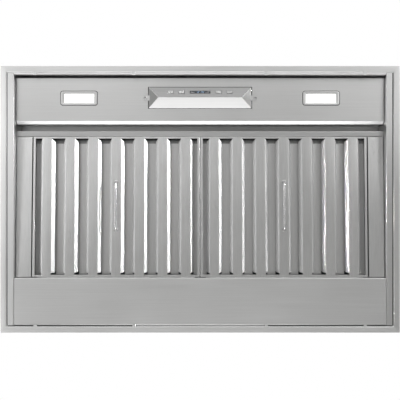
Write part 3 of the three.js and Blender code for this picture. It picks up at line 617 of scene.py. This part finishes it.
for hand, x in (("left", -filters["centre"]), ("right", filters["centre"])):
    body = f"filter_{hand}_body"
    softened(f"filter_frame_{hand}", steelFilter, inner=0.5, sheet=1.0, thin=1.6)
    bm = bmesh.new()
    frontRow(bm)
    row = finishPiece(bm, f"frontBaffleRow_{hand}", steelFilter, f"front_baffles_{hand}", filterPlace(x), body=body)
    # the flared edges take the lighter copy: a painted highlight
    row.data.materials.append(steelFlarePaintedLight)
    for face in row.data.polygons:
        face.material_index = int(0.6 < abs(face.normal.x) < 0.97 and face.normal.z < 0)
    bm = bmesh.new()
    backRow(bm)
    finishPiece(bm, f"backBaffleRow_{hand}", steelBackPaintedLight, f"back_baffles_{hand}", filterPlace(x), body=body)
    inside, level = filters["inside"], filters["level"]
    bm = bmesh.new()
    addBox(bm, (-inside, -306.4, level - 0.6), (inside, -298.9, level + 1), 0.2)
    finishPiece(bm, f"backBaffleTie_{hand}", zincTiePaintedShade, place=filterPlace(x), body=body)
    bm = bmesh.new()  # a black strip between the front rail and the tie: painted shade, seen as a black line at the ends of the gaps
    addBox(bm, (-181.8, -307.7, 3), (181.8, -306.5, level + 1), 0.1)
    finishPiece(bm, f"filterGapPaintedShade_{hand}", gasketAndShadeBlack, place=filterPlace(x), body=body)
    bm = bmesh.new()
    wire(bm, handleRoute(), handleWire["thick"] / 2, 24)
    finishPiece(bm, f"wireHandle_{hand}", wireSteel, f"handle_{hand}", filterPlace(x), body=body, crease=50)
    bm = bmesh.new()
    for end in (-1, 1):
        y = handleWire["middle"] + end * (handleWire["length"] - handleWire["thick"]) / 2
        big, bar = handleWire["washer"], handleWire["thick"] / 2
        washer = [(bar + 0.05, -0.75), (big - 0.6, -0.7), (big, -0.35), (big, 0.45), (bar + 0.05, 0.45)]
        lathe(bm, washer, 28, at(0, y, 0), closed=True)
        lathe(bm, [(5.6, 1.6), (5.6, 5.2), (5.0, 5.8), (3.0, 5.8)], 6, at(0, y, 0))
    finishPiece(bm, f"handleWashers_{hand}", screwSteel, place=filterPlace(x), body=body)
bm = bmesh.new()  # foam strips between the filters and the filler panels
for side in (-1, 1):
    low, high = sorted((side * 370.7, side * 372.2))
    addBox(bm, (low, -310, filters["plane"] - 0.25), (high, -3, filters["plane"] + 0.4), 0.1)
finishPiece(bm, "fillerGaskets", gasketAndShadeBlack, place=filterPlace(0))
print("filters ready")


# Lamps: a bezel flush with the fascia round a lit opal lens, an LED board and a cast heat sink behind
lamps = {"x": 267.8, "y": -223.6, "bezelX": 40.4, "bezelY": 15.3, "bezelCorner": 5, "lensX": 32.7, "lensY": 9.7,
         "lensCorner": 1.5, "face": 16, "back": 19, "lensFace": 16.9, "chips": 11}

for hand, side in (("left", -1), ("right", 1)):
    place = at(side * lamps["x"], lamps["y"], 0)
    bx, by, bc, lx, ly, lc = [lamps[k] for k in ("bezelX", "bezelY", "bezelCorner", "lensX", "lensY", "lensCorner")]
    face, back = lamps["face"], lamps["back"]
    bm = bmesh.new()
    outside = [(bx, by, bc, back), (bx, by, bc, face + 0.8), (bx - 0.25, by - 0.25, bc, face + 0.25),
               (bx - 0.8, by - 0.8, bc - 0.5, face)]
    opening = [(lx + 3.6, ly + 2.8, lc + 2, face), (lx + 0.9, ly + 0.9, lc + 0.6, face + 0.75),
               (lx, ly, lc, face + 1.2), (lx, ly, lc, back)]
    loft(bm, stack(outside + opening, 6), closed=True)
    finishPiece(bm, f"lampBezel_{hand}", steelAcross, f"light_bezel_{hand}", place)
    bm = bmesh.new()
    lx, ly = lx - 0.3, ly - 0.3
    face = lamps["lensFace"]
    levels = [(lx, ly, 1.2, face + 2), (lx, ly, 1.2, face + 0.5), (lx - 0.5, ly - 0.5, 1, face + 0.08),
              (lx - 3, ly - 3, 1, face)]
    loft(bm, stack(levels, 6))
    finishPiece(bm, f"lampLens_{hand}", opal, f"light_lens_{hand}", place)
    bm = bmesh.new()
    addBox(bm, (-36, -14, 31.8), (36, 14, 33.4), 0.15)
    finishPiece(bm, f"ledBoard_{hand}", boardWhite, f"light_board_{hand}", place)
    bm = bmesh.new()
    for i in range(lamps["chips"]):
        for y in (-7, 7):
            addBox(bm, (-33.5 + i * 5.8, y - 1.4, 31.1), (-30.7 + i * 5.8, y + 1.4, 31.8), 0.2)
    finishPiece(bm, f"ledChips_{hand}", opal, place=place)
    bm = bmesh.new()  # foam strip between the bezel and the fascia
    levels = [(bx + 0.15, by + 0.15, bc, 17.2), (bx + 1.1, by + 1.1, bc + 0.9, 17.2),
              (bx + 1.1, by + 1.1, bc + 0.9, 17.8), (bx + 0.15, by + 0.15, bc, 17.8)]
    loft(bm, stack(levels, 6), closed=True)
    finishPiece(bm, f"lampGasket_{hand}", gasketAndShadeBlack, place=place)
    softened(f"light_housing_{hand}", castGrey, inner=0.6, sheet=0.6, edge=0.4, thin=2.2)


# Control housing: its front facet carries the buttons and the display; facet y runs to the ridge and z into the housing
facet = {"front": -248.15, "ridgeY": -223.9, "base": 16.1, "ridge": 4.4, "earX": 121.2}
facetPlace = at(0, (facet["front"] + facet["ridgeY"]) / 2, (facet["base"] + facet["ridge"]) / 2) @ \
    Matrix.Rotation(math.atan2(facet["ridge"] - facet["base"], facet["ridgeY"] - facet["front"]), 4, "X")
buttons = {"halfX": 5.75, "halfY": 3, "corner": 1.3, "proud": 0.45,
           "places": {"power": -65, "light": -41, "slower": 41, "faster": 65}}
display = {"halfX": 22, "halfY": 3.25, "digitHeight": 3.6, "digitWidth": 2.2, "bar": 0.55, "gap": 0.12,
           "reading": "1230", "places": (-7.2, -3.6, 3.6, 7.2), "proud": (-0.34, -0.29)}
segments = {"0": "abcdef", "1": "bc", "2": "abged", "3": "abgcd"}


# A flat printed line of some width along a route, or round it when closed
def addStroke(bm, route, width, low, high, closed=False):
    count = len(route)
    rows = []
    for i, (x, y) in enumerate(route):
        before = route[i - 1] if i or closed else route[i]
        after = route[(i + 1) % count] if i < count - 1 or closed else route[i]
        dx, dy = after[0] - before[0], after[1] - before[1]
        size = math.hypot(dx, dy) or 1
        nx, ny = -dy / size * width / 2, dx / size * width / 2
        corners = ((x + nx, y + ny, low), (x - nx, y - ny, low), (x - nx, y - ny, high), (x + nx, y + ny, high))
        rows.append([bm.verts.new(p) for p in corners])
    for i in range(count if closed else count - 1):
        a, b = rows[i], rows[(i + 1) % count]
        for k in range(4):
            bm.faces.new((a[k], a[(k + 1) % 4], b[(k + 1) % 4], b[k]))
    if not closed:
        bm.faces.new(rows[0][::-1])
        bm.faces.new(rows[-1])


def legend(bm, kind, x, face):
    low, high = face - 0.05, face + 0.1

    def ringPoints(radius, first, last, steps=16):
        angles = [math.radians(first + (last - first) * k / steps) for k in range(steps + 1)]
        return [(x + radius * math.sin(a), -radius * math.cos(a)) for a in angles]

    if kind == "power":  # open ring with a bar
        addStroke(bm, ringPoints(1.7, 40, 320), 0.55, low, high)
        addStroke(bm, [(x, -2.1), (x, -0.2)], 0.55, low, high)
    elif kind == "light":  # a bulb with rays
        addStroke(bm, ringPoints(1.1, 0, 337.5, 15), 0.55, low, high, closed=True)
        for a in (k * math.pi / 4 for k in range(8)):
            start, end = [(x + reach * math.cos(a), reach * math.sin(a)) for reach in (1.6, 2.2)]
            addStroke(bm, [start, end], 0.4, low, high)
    else:
        addStroke(bm, [(x - 1.7, 0), (x + 1.7, 0)], 0.6, low, high)
        if kind == "faster":
            addStroke(bm, [(x, -1.7), (x, 1.7)], 0.6, low, high)
    for side in (-1, 1):  # short bars at both sides of each sign
        addStroke(bm, [(x + side * 3.2, -1.1), (x + side * 3.2, 1.1)], 0.8, low, high)


housing = softened("control_housing", steelAcross, inner=0.2, sheet=0.9, edge=0.15, thin=1.2, steps=4)
housing.data.materials.append(steelPolished)
housing.data.materials.append(steelKeysPaintedShade)
# the key face takes the darker copy: painted shade
for face in housing.data.polygons:
    if face.normal.z < -0.1:
        face.material_index = 1 if 0.2 < abs(face.normal.x) < 0.9 else 2 if -0.9 < face.normal.y < -0.2 else 0
bm = bmesh.new()  # a black strip under its base, painted shade for the dark line round the housing, 1 mm proud at the sides and less at the front and the rear
levels = [(110, 18, 0.5, 16.14), (115.2, 24.1, 0.8, 16.14), (115.2, 24.1, 0.8, 16.38), (110, 18, 0.5, 16.38)]
loft(bm, stack(levels, 4), closed=True, place=at(0, -224.5, 0))
finishPiece(bm, "controlPaintedShadeLine", gasketAndShadeBlack)
for name, x in buttons["places"].items():
    bx, by, corner, proud = buttons["halfX"], buttons["halfY"], buttons["corner"], buttons["proud"]
    body = f"{name}_button_body"
    bm = bmesh.new()
    levels = [(bx, by, corner, 2.6), (bx, by, corner, -proud + 0.45), (bx - 0.12, by - 0.12, corner, -proud + 0.15),
              (bx - 0.45, by - 0.45, corner, -proud), (bx - 1.2, by - 0.9, corner, -proud + 0.04),
              (bx - 2.4, by - 1.6, 0.8, -proud + 0.1)]
    loft(bm, stack(levels, 5), place=at(x, 0, 0))
    addBox(bm, (x - 7, -4, 2.6), (x + 7, 4, 3.5), 0.2)
    addBox(bm, (x - 1.5, -1.5, 3.4), (x + 1.5, 1.5, 5.4), 0.2)
    finishPiece(bm, f"{name}ButtonCap", buttonGrey, f"{name}_button", facetPlace, body=body)
    bm = bmesh.new()
    field = [(4.9, 1.9, 0.8, -proud + 0.06), (4.9, 1.9, 0.8, -proud - 0.03), (4.7, 1.7, 0.7, -proud - 0.06)]
    loft(bm, stack(field, 4), place=at(x, 0, 0))
    finishPiece(bm, f"{name}ButtonField", legendWhite, place=facetPlace, body=body)
    bm = bmesh.new()
    legend(bm, name, x, -proud - 0.1)
    finishPiece(bm, f"{name}ButtonLegend", legendGrey, place=facetPlace, body=body)

bm = bmesh.new()
dx, dy = display["halfX"], display["halfY"]
levels = [(dx, dy, 0.6, 3.2), (dx, dy, 0.6, 0), (dx - 0.3, dy - 0.3, 0.5, -0.28), (dx - 1, dy - 0.8, 0.4, -0.3)]
loft(bm, stack(levels, 4))
finishPiece(bm, "displayWindow", smoked, "display_window", facetPlace)
bm = bmesh.new()
tall, wide, bar = display["digitHeight"] / 2, display["digitWidth"] / 2, display["bar"]
low, high = display["proud"]
lines = {"a": ((-wide, -tall), (wide, -tall)), "b": ((wide, -tall), (wide, 0)), "c": ((wide, 0), (wide, tall)),
         "d": ((-wide, tall), (wide, tall)), "e": ((-wide, 0), (-wide, tall)), "f": ((-wide, -tall), (-wide, 0)),
         "g": ((-wide, 0), (wide, 0))}
for middle, digit in zip(display["places"], display["reading"]):
    for key in segments[digit]:
        (ax, ay), (bx, by) = lines[key]
        size = math.hypot(bx - ax, by - ay)
        ux, uy = (bx - ax) / size * display["gap"], (by - ay) / size * display["gap"]
        addStroke(bm, [(middle + ax + ux, ay + uy), (middle + bx - ux, by - uy)], bar, low, high)
for y in (-0.9, 0.9):
    addBox(bm, (-0.35, y - 0.35, low), (0.35, y + 0.35, high), 0.02)
finishPiece(bm, "displayDigits", digitGlow, place=facetPlace)
bm = bmesh.new()
for side in (-1, 1):  # level bars at both ends of the window
    for k in range(5):
        x, tallBar = side * (12.5 + 1.7 * k), 0.5 + 0.28 * k
        addBox(bm, (x - 0.45, 1.4 - 2 * tallBar, low), (x + 0.45, 1.6, high), 0.02)
finishPiece(bm, "displayBars", buttonGrey, place=facetPlace)

bm = bmesh.new()
addBox(bm, (-90, -9.5, 7), (90, 9.5, 8.6), 0.15)
finishPiece(bm, "controlBoard", boardGreen, "control_board", facetPlace)
for hand, side in (("left", -1), ("right", 1)):
    bm = bmesh.new()
    place = at(side * facet["earX"], facet["ridgeY"], facet["base"] - 1.8)
    turned = [(1.9, 9.6), (1.9, 0), (4, 0), (4, -1), (3.75, -1.8), (3.2, -2.5), (2.4, -3.1), (1.75, -3.38)]
    rings = [[(x, y, depth) for x, y in circle(radius, 24)] for radius, depth in turned]
    sides = [1.2 / math.cos((k * math.tau / 24) % (math.pi / 3) - math.pi / 6) for k in range(24)]
    for depth in (-3.38, -1.6):  # hexagonal socket
        rings.append([(x * reach, y * reach, depth) for (x, y), reach in zip(circle(1, 24), sides)])
    loft(bm, rings, place=place)
    finishPiece(bm, f"earScrew_{hand}", screwSteel, f"control_screw_{hand}", crease=40)
    bm = bmesh.new()  # the bottom of the socket is painted black: painted shade in the recess
    lathe(bm, [(1.5, -1.7), (1.4, -2.9), (0.7, -2.95)], 6, place)
    finishPiece(bm, f"earScrewSocketPaintedShade_{hand}", gasketAndShadeBlack)
print("lamps and controls ready")


# Blower box and collar
softened("blower_box", zinc)
softened("blower_lid", zinc)
collar = {"y": 20, "radius": 100, "thick": 1.2, "foot": 340.3, "flange": 118.8, "bead": 386, "rise": 2, "top": 400}
damper = {"z": 356, "radius": 93, "rod": 2.5, "thick": 1.0}

bm = bmesh.new()  # the wires of the guard, welded where they cross
for y in (-121, -60, 0, 60, 121):
    wire(bm, [(x, y, 135.4) for x in (-168, -60, 60, 168)], 1.5, 12)
for i in range(12):
    x = -166 + i * 332 / 11
    wire(bm, [(x, y, 137.9) for y in (-123, -40, 40, 123)], 1.5, 12)
finishPiece(bm, "guardWires", wireSteel, "blower_guard")

bm = bmesh.new()
outer, foot, top, bead, height, flange = [collar[k] for k in ("radius", "foot", "top", "bead", "rise", "flange")]
inner = outer - collar["thick"]
wave = [math.pi * (k / 5 - 1) for k in range(11)]  # once over the swaged bead
profile = [(inner, foot + 1.5), (inner + 0.4, foot + 0.4), (inner + 1.5, foot), (flange - 0.2, foot),
           (flange, foot + 0.3), (flange, foot + 1), (flange - 0.3, foot + 1.2), (outer + 2, foot + 1.2),
           (outer + 0.6, foot + 1.7), (outer, foot + 3)]
profile += [(outer + height * (0.5 + 0.5 * math.cos(a)), bead + 4.2 * a / math.pi) for a in wave]
profile += [(outer, top - 0.3), (outer - 0.3, top), (inner + 0.3, top), (inner, top - 0.3)]
profile += [(inner + height * (0.5 + 0.5 * math.cos(a)) * 0.9, bead - 4.2 * a / math.pi) for a in wave]
lathe(bm, profile, 128, at(0, collar["y"], 0), closed=True)
for y in (-93.7, 93.7):  # stops under the closed flaps
    addBox(bm, (-9, collar["y"] + y - 5.7, damper["z"] - 3), (9, collar["y"] + y + 5.7, damper["z"] - 1.8), 0.3)
addBox(bm, (outer - 0.2, collar["y"] - 6, foot + 1.2), (outer + 0.9, collar["y"] + 6, 381), 0.4)  # lapped seam
for z in (349, 361, 373):
    addRivet(bm, along((outer + 0.8, collar["y"], z), (outer + 2, collar["y"], z)), 2.0, 0.8)
for k in range(12):
    a = (k + 0.5) * math.pi / 6
    addRivet(bm, at(109.5 * math.cos(a), collar["y"] + 109.5 * math.sin(a), foot + 1.1), 2.6, 1.2)
finishPiece(bm, "ductCollarTube", zincBright, "duct_collar")

for hand, side in (("front", -1), ("rear", 1)):  # half discs with rolled knuckles on the rod
    bm = bmesh.new()
    radius, thick = damper["radius"], damper["thick"]
    flat = [(radius * math.cos(a), side * radius * math.sin(a)) for a in (math.pi * k / 48 for k in range(49))]
    reach = math.sqrt(radius ** 2 - 4.6 ** 2)
    edge = [(reach, side * 4.6)] + [p for p in flat if side * p[1] >= 4.6] + [(-reach, side * 4.6)]
    inset = lambda amount, z: [(x * (1 - amount / radius), y * (1 - amount / radius) + side * amount * 0.05, z)
                               for x, y in edge]
    loft(bm, [inset(0.2, -thick / 2), inset(0, -thick / 4), inset(0, thick / 4), inset(0.2, thick / 2)])
    bore = damper["rod"] + 0.35
    knuckle = [(bore, -19), (3.9, -19), (4.1, -18.7), (4.1, 18.7), (3.9, 19), (bore, 19)]
    for x in (-20 * side, 62 * side):
        lathe(bm, knuckle, 28, along((x, 0, 0), (x + 1, 0, 0)), closed=True)
        addBox(bm, (x - 19, min(side * 3.2, side * 5.6), -0.5), (x + 19, max(side * 3.2, side * 5.6), 0.5), 0.1)
    addBead(bm, (-48, side * 38, 0.45), (48, side * 38, 0.45), (0, 0, 1), 8, 1.2)
    onRod = at(0, collar["y"], damper["z"])
    finishPiece(bm, f"damperFlap_{hand}", flapGrey, f"damper_flap_{hand}", onRod, body=f"damper_{hand}_body")
bm = bmesh.new()
rod, y, z = damper["rod"], collar["y"], damper["z"]
lathe(bm, [(rod - 0.4, -98.2), (rod, -97.8), (rod, 97.8), (rod - 0.4, 98.2)], 24, along((0, y, z), (1, y, z)))
finishPiece(bm, "damperRodPin", screwSteel, "damper_rod")

# Screws, rivets and pressed ribs of the upper sheets, and the heights they sit at
seat = {"plenum": 141.15, "flange": 142.65, "driver": 142.95, "wallRow": 127, "cover": 186.5, "lip": 332, "lid": 339.95}
bm = bmesh.new()
spots = [(x, y, "flange", 3.6, 2.2) for x in (-180, -90, 0, 90, 180) for y in (-158, 158)]
spots += [(x, y, "flange", 3.6, 2.2) for x in (-198, 198) for y in (-100, 0, 100)]
spots += [(x, y, "plenum", 3.2, 1.9) for x in (-400, -320, -240, -120, 0, 120, 240, 320, 400) for y in (-266, 268)]
spots += [(x, y, "plenum", 3.2, 1.9) for x in (-400, 400) for y in (-180, -90, 0, 90, 180)]
spots += [(x, -39, "driver", 3.0, 1.8) for x in (-345.5, -214.5)]
for x, y, where, radius, height in spots:
    addScrew(bm, at(x, y, seat[where]), radius, height)
for side in (-1, 1):
    for x in (-130, 0, 130):  # lid lips
        addScrew(bm, along((x, side * 151.65, seat["lip"]), (x, side * 153, seat["lip"])), 3.2, 1.8)
    for y in (-100, 0, 100):
        addScrew(bm, along((side * 191.65, y, seat["lip"]), (side * 193, y, seat["lip"])), 3.2, 1.8)
    for x in (255, 315):  # junction cover
        addScrew(bm, along((x, -20 + side * 41.35, seat["cover"]), (x, -20 + side * 43, seat["cover"])), 2.8, 1.6)
finishPiece(bm, "plenumScrews", screwSteel)

bm = bmesh.new()
for side in (-1, 1):
    for y in (-85, -30, 30, 85):  # brackets onto the walls
        for z in (82, 98):
            addRivet(bm, along((side * 410.85, y, z), (side * 412, y, z)), 3.0, 1.2)
    for y in (-262, -150, 0, 150, 262):
        addRivet(bm, along((side * 408.55, y, seat["wallRow"]), (side * 410, y, seat["wallRow"])), 2.6, 0.9)
for x in (-360, -240, -120, 0, 120, 240, 360):
    for wall, outside in ((-274.85, -276), (277.05, 278)):
        addRivet(bm, along((x, wall, seat["wallRow"]), (x, outside, seat["wallRow"])), 2.6, 0.9)
finishPiece(bm, "wallRivets", flapGrey)

bm = bmesh.new()
for side in (-1, 1):
    for x in (-130, -65, 0, 65, 130):  # upright ribs on the blower box
        addBead(bm, (x, side * 150, 165), (x, side * 150, 312), (0, side, 0), 10, 1.5)
    for y in (-90, -30, 30, 90):
        addBead(bm, (side * 190, y, 165), (side * 190, y, 312), (side, 0, 0), 10, 1.5)
    for x in (-375, -225, 225, 375):
        addBead(bm, (x, side * 95, seat["plenum"]), (x, side * 240, seat["plenum"]), (0, 0, 1), 12, 1.6)
    for x in (-105, 105):
        addBead(bm, (x - 45, side * 205, seat["plenum"]), (x + 45, side * 205, seat["plenum"]), (0, 0, 1), 12, 1.6)
    for x in (-1, 1):  # corners of the lid
        addBead(bm, (x * 178, side * 138, seat["lid"]), (x * 125, side * 118, seat["lid"]), (0, 0, 1), 10, 1.4)
finishPiece(bm, "pressedRibs", zinc, crease=50)
print("blower box and collar ready")


# Inside the blower box: scroll, wheel, motor and its capacitor
wheel = {"y": -36, "z": 248, "half": 64, "blades": 36, "inner": 54}
onShaft = at(0, wheel["y"], wheel["z"]) @ Matrix.Rotation(math.pi / 2, 4, "Y")

for hand in ("left", "right"):
    softened(f"scroll_{hand}", zinc, inner=0.2, sheet=0.4, edge=0.2, thin=2.2, steps=2)
softened("motor_bracket", zinc, inner=0.2, sheet=0.3, edge=0.25, thin=2.5, steps=2)

bm = bmesh.new()
for k in range(wheel["blades"]):
    turn = onShaft @ Matrix.Rotation(k * math.tau / wheel["blades"], 4, "Z")
    curve = [(wheel["inner"] + 11.4 * t, 8.2 * t * t - 0.6 * t) for t in (i / 5 for i in range(6))]
    outline = curve + [(x - 0.45, y + 0.8) for x, y in curve[::-1]]
    loft(bm, [[(x, y, z) for x, y in outline] for z in (-wheel["half"] + 0.4, wheel["half"] - 0.4)], place=turn)
for side in (-1, 1):
    edge = side * (wheel["half"] - 1.5)
    hoop = ((63, -1.5), (66.3, -1.5), (66.6, -1), (66.6, 1), (66.3, 1.5), (63, 1.5))
    lathe(bm, [(r, edge + h) for r, h in hoop], 72, onShaft, closed=True)
lathe(bm, [(12, -0.8), (62, -0.8), (64, -0.5), (64, 0.5), (62, 0.8), (12, 0.8)], 72, onShaft, closed=True)
lathe(bm, [(4.4, -7.4), (11.2, -7.4), (12, -6.6), (12, 9.8), (11.2, 10.6), (4.4, 10.6)], 40, onShaft, closed=True)
finishPiece(bm, "wheelBlades", zincBright, "impeller", body="rotor")
bm = bmesh.new()
lathe(bm, [(3.4, -13.8), (4, -13.2), (4, 15.6), (3.4, 16.2)], 28, onShaft)
finishPiece(bm, "motorShaftBar", screwSteel, "motor_shaft", body="rotor")

bm = bmesh.new()
shell = [(0.5, -88), (28, -88), (34, -87), (39, -84.5), (42, -80), (42, -74), (41.2, -73.4), (41.2, -72.2),
         (42, -71.6), (42, -30), (41.2, -29.4), (41.2, -28.2), (42, -27.6), (42, -20), (40.5, -17), (37, -15),
         (16, -14), (14, -13), (14, -11.6), (6, -11.6), (6, -14), (0.5, -14)]
lathe(bm, shell, 64, onShaft)
finishPiece(bm, "motorCan", motorBlack, "motor")
bm = bmesh.new()
for k in range(10):  # cooling slots' louvres at the closed end
    addBox(bm, (15, -1.6, -88.7), (30, 1.6, -87.9), 0.3, onShaft @ Matrix.Rotation(k * math.tau / 10, 4, "Z"))
facingOut = at(34.5, 0, -85.6) @ Matrix.Rotation(math.pi, 4, "X")
for k in range(4):
    addScrew(bm, onShaft @ Matrix.Rotation(k * math.pi / 2 + 0.4, 4, "Z") @ facingOut, 2.6, 1.6)
finishPiece(bm, "motorTrim", screwSteel)

canPlace = at(150, -70, 163) @ Matrix.Rotation(-math.pi / 2, 4, "X")
bm = bmesh.new()
can = [(17.2, 0), (18.4, 0.4), (19, 1.6), (19, 56), (18.6, 57.2), (19, 58.2), (18.4, 59.6), (17.2, 59.9),
       (15, 58.9), (8, 58.9), (8, 60.5), (0.5, 60.5)]
lathe(bm, can, 56, canPlace)
finishPiece(bm, "capacitorCan", castGrey, "capacitor")
bm = bmesh.new()
lathe(bm, [(7.6, 60.4), (7.6, 61.4), (6.8, 61.8), (0.5, 61.8)], 32, canPlace)
for side in (-1, 1):
    addBox(bm, (side * 3.5 - 0.4, -2.4, 61.6), (side * 3.5 + 0.4, 2.4, 62.95), 0.1, canPlace)
finishPiece(bm, "capacitorTerminals", chipBlack)

# Electrics on the plenum top: lamp driver in a moulded case, junction box with knockouts
bm = bmesh.new()
addBox(bm, (-340, -60, 141.5), (-220, -18, 168), 1.6)
addBox(bm, (-350, -48, 141.5), (-210, -30, 143), 0.5)
for k in range(14):
    addBox(bm, (-331 + k * 5.4, -60.25, 147), (-328.6 + k * 5.4, -17.75, 168.2), 0.3)  # cooling ribs of the case
finishPiece(bm, "lampDriverCase", driverWhite, "lamp_driver")
bm = bmesh.new()
for k in range(4):
    addBox(bm, (-249 + k * 6, -60.4, 150), (-244.6 + k * 6, -59.4, 162), 0.3)
finishPiece(bm, "driverTerminals", chipBlack)
softened("junction_box", zinc)
softened("junction_cover", zinc)
junction = {"x": 285, "y": -20, "halfX": 50, "halfY": 40, "spacing": 23, "hole": 163}
bm = bmesh.new()
middle, y, high = junction["x"], junction["y"], junction["hole"]
knockouts = [(middle + side * junction["halfX"], y, side, 0) for side in (-1, 1)]
for x in (middle - junction["spacing"], middle + junction["spacing"]):
    knockouts += [(x, y + side * junction["halfY"], 0, side) for side in (-1, 1)]
for x, edge, dx, dy in knockouts:
    ring = [(10.4, -0.1), (10.8, 0.35), (11.4, 0.35), (11.8, -0.1)]
    lathe(bm, ring, 40, along((x, edge, high), (x + dx, edge + dy, high)), closed=True)
for foot in (-46, 46):
    for x in (252, 318):
        addBox(bm, (x - 7, y + foot - 6, 141.2), (x + 7, y + foot + 6, 142.4), 0.3)
finishPiece(bm, "knockoutRings", zinc)
print("blower and electrics ready")

# Each CAD node is hidden by the piece that replaces it, and gets the finish of its slot all the same
finishes = {"stainless": steelAcross, "galvanised": zinc, "bright_steel": screwSteel, "aluminium": castGrey,
            "button_plastic": buttonGrey, "smoked_plastic": smoked, "circuit_board": boardGreen,
            "white_plastic": driverWhite, "diffuser": opal, "motor_paint": motorBlack}
for name, node in cad.items():
    node.data.materials.clear()
    node.data.materials.append(finishes[slotOf[name]])


# Camera under the hood, where the photo was taken, with the front edge up
camera = bpy.data.objects.new("camera", bpy.data.cameras.new("camera"))
camera.location = (-0.0002, 0.0015, -1.400)
camera.rotation_euler = (math.pi, 0, 0)
camera.data.sensor_width = 36
camera.data.lens = 57.64
scene.collection.objects.link(camera)
scene.camera = camera

# Pale painted floor below the camera
floor = {"height": -1.62, "half": 5.0, "light": "#f2f2f0", "dark": "#ebebe9"}
material, tree, place = newMaterial("palePaintedFloor")
cloudy = addNode(tree, "TexNoise", {"Scale": 4, "Detail": 4}, {"Vector": place})
share = addNode(tree, "MapRange", {**noiseSpan, 3: 0, 4: 1}, {0: cloudy})
paint = addNode(tree, "Mix", {6: linear(floor["dark"]), 7: linear(floor["light"])}, {0: share},
                data_type="RGBA").outputs[2]
shader = addNode(tree, "BsdfPrincipled", {"Roughness": 0.75}, {"Base Color": paint})
addNode(tree, "OutputMaterial", links={"Surface": shader})
bm = bmesh.new()
bmesh.ops.create_grid(bm, x_segments=8, y_segments=8, size=floor["half"])
mesh = bpy.data.meshes.new("studioFloor")
bm.to_mesh(mesh)
bm.free()
mesh.materials.append(material)
studioFloor = bpy.data.objects.new("studioFloor", mesh)
studioFloor.location.z = floor["height"]
scene.collection.objects.link(studioFloor)

# Soft boxes round the hood. Their first places and powers came from a fit to the photo's brightness, and most
# were then changed one by one. rakeRight and rakeLeft have egg-crate grids (a narrow spread), so they light only the
# baffles' flared edges, and the right one reaches only as far as the middle of the hood.
softBoxes = {
    "rakeRight": {"at": (1.25, -0.4, -0.62), "aim": (-0.145, 0.04, 0.01), "size": (0.62, 0.2), "spread": 6,
                  "watts": 0.55},
    "rakeLeft": {"at": (-1.1, 0.0, -0.6), "aim": (0.335, 0, 0.01), "size": (0.62, 0.03), "spread": 4, "watts": 0.05},
    "rakeRear": {"at": (0.0, 3.31, -0.77), "size": (3.0, 1.09), "watts": 36},
    "lowRear": {"at": (0.0, 2.23, -1.45), "size": (1.6, 0.85), "watts": 22},
    "lowRight": {"at": (1.4, -0.5, -1.45), "size": (0.55, 0.6), "watts": 3.2},
    "frontRight": {"at": (1.0, -1.1, -1.45), "size": (1.1, 0.9), "watts": 4},
    "lowLeft": {"at": (-1.40, -0.25, -1.45), "size": (0.85, 0.85), "watts": 2.4},
    "lowFront": {"at": (-0.1, -1.25, -1.45), "size": (3.2, 1.1), "watts": 21},
    "rearLeft": {"at": (-0.99, 0.99, -1.45), "size": (0.85, 0.65), "watts": 1.7},
    "nearLeft": {"at": (-0.56, 0.0, -0.15), "aim": (-0.43, 0, 0), "size": (0.74, 0.06), "watts": 0.55},
    "floorGlow": {"at": (-0.6, -0.5, -1.58), "aim": (-0.5, -0.4, 0), "size": (0.9, 0.9), "watts": 0.8},
    "topFront": {"at": (1.6, -2.2, 2.4), "aim": (0, 0, 0.2), "size": (1.6, 1.6), "watts": 14},
    "topRear": {"at": (-2.0, 2.0, 2.2), "aim": (0, 0, 0.2), "size": (1.8, 1.4), "watts": 9},
}
floorOnly = bpy.data.collections.new("floorOnly")  # boxes close to the floor would leave a glare on it, so they skip it
floorOnly.objects.link(studioFloor)
for name, box in softBoxes.items():
    lamp = bpy.data.objects.new(name, bpy.data.lights.new(name, "AREA"))
    lamp.data.shape = "RECTANGLE"
    lamp.data.size, lamp.data.size_y = box["size"]
    lamp.data.energy = box["watts"]
    lamp.data.spread = math.radians(box.get("spread", 180))
    lamp.location = box["at"]
    towards = Vector(box.get("aim", (0, 0, 0))) - Vector(box["at"])
    lamp.rotation_euler = towards.to_track_quat("-Z", "Y").to_euler()
    lamp.visible_camera = False
    scene.collection.objects.link(lamp)
    if box["at"][2] < 0:
        lamp.light_linking.receiver_collection = floorOnly
floorOnly.collection_objects[0].light_linking.link_state = "EXCLUDE"

# World: white where it is seen, reflected or looked through, softer as light
world = bpy.data.worlds.new("studioWorld")
world.use_nodes = True
scene.world = world
tree = world.node_tree
tree.nodes.clear()
path = addNode(tree, "LightPath")
seen = addNode(tree, "Math", links={0: path.outputs["Is Camera Ray"], 1: path.outputs["Is Glossy Ray"]},
               operation="MAXIMUM")
seen = addNode(tree, "Math", links={0: seen, 1: path.outputs["Is Transmission Ray"]}, operation="MAXIMUM")
strength = addNode(tree, "MapRange", {3: 0.45, 4: 1}, {0: seen})
background = addNode(tree, "Background", {"Color": (1, 1, 1, 1)}, {"Strength": strength})
addNode(tree, "OutputWorld", links={"Surface": background})
scene.view_settings.view_transform = "Standard"
print("camera and studio ready")
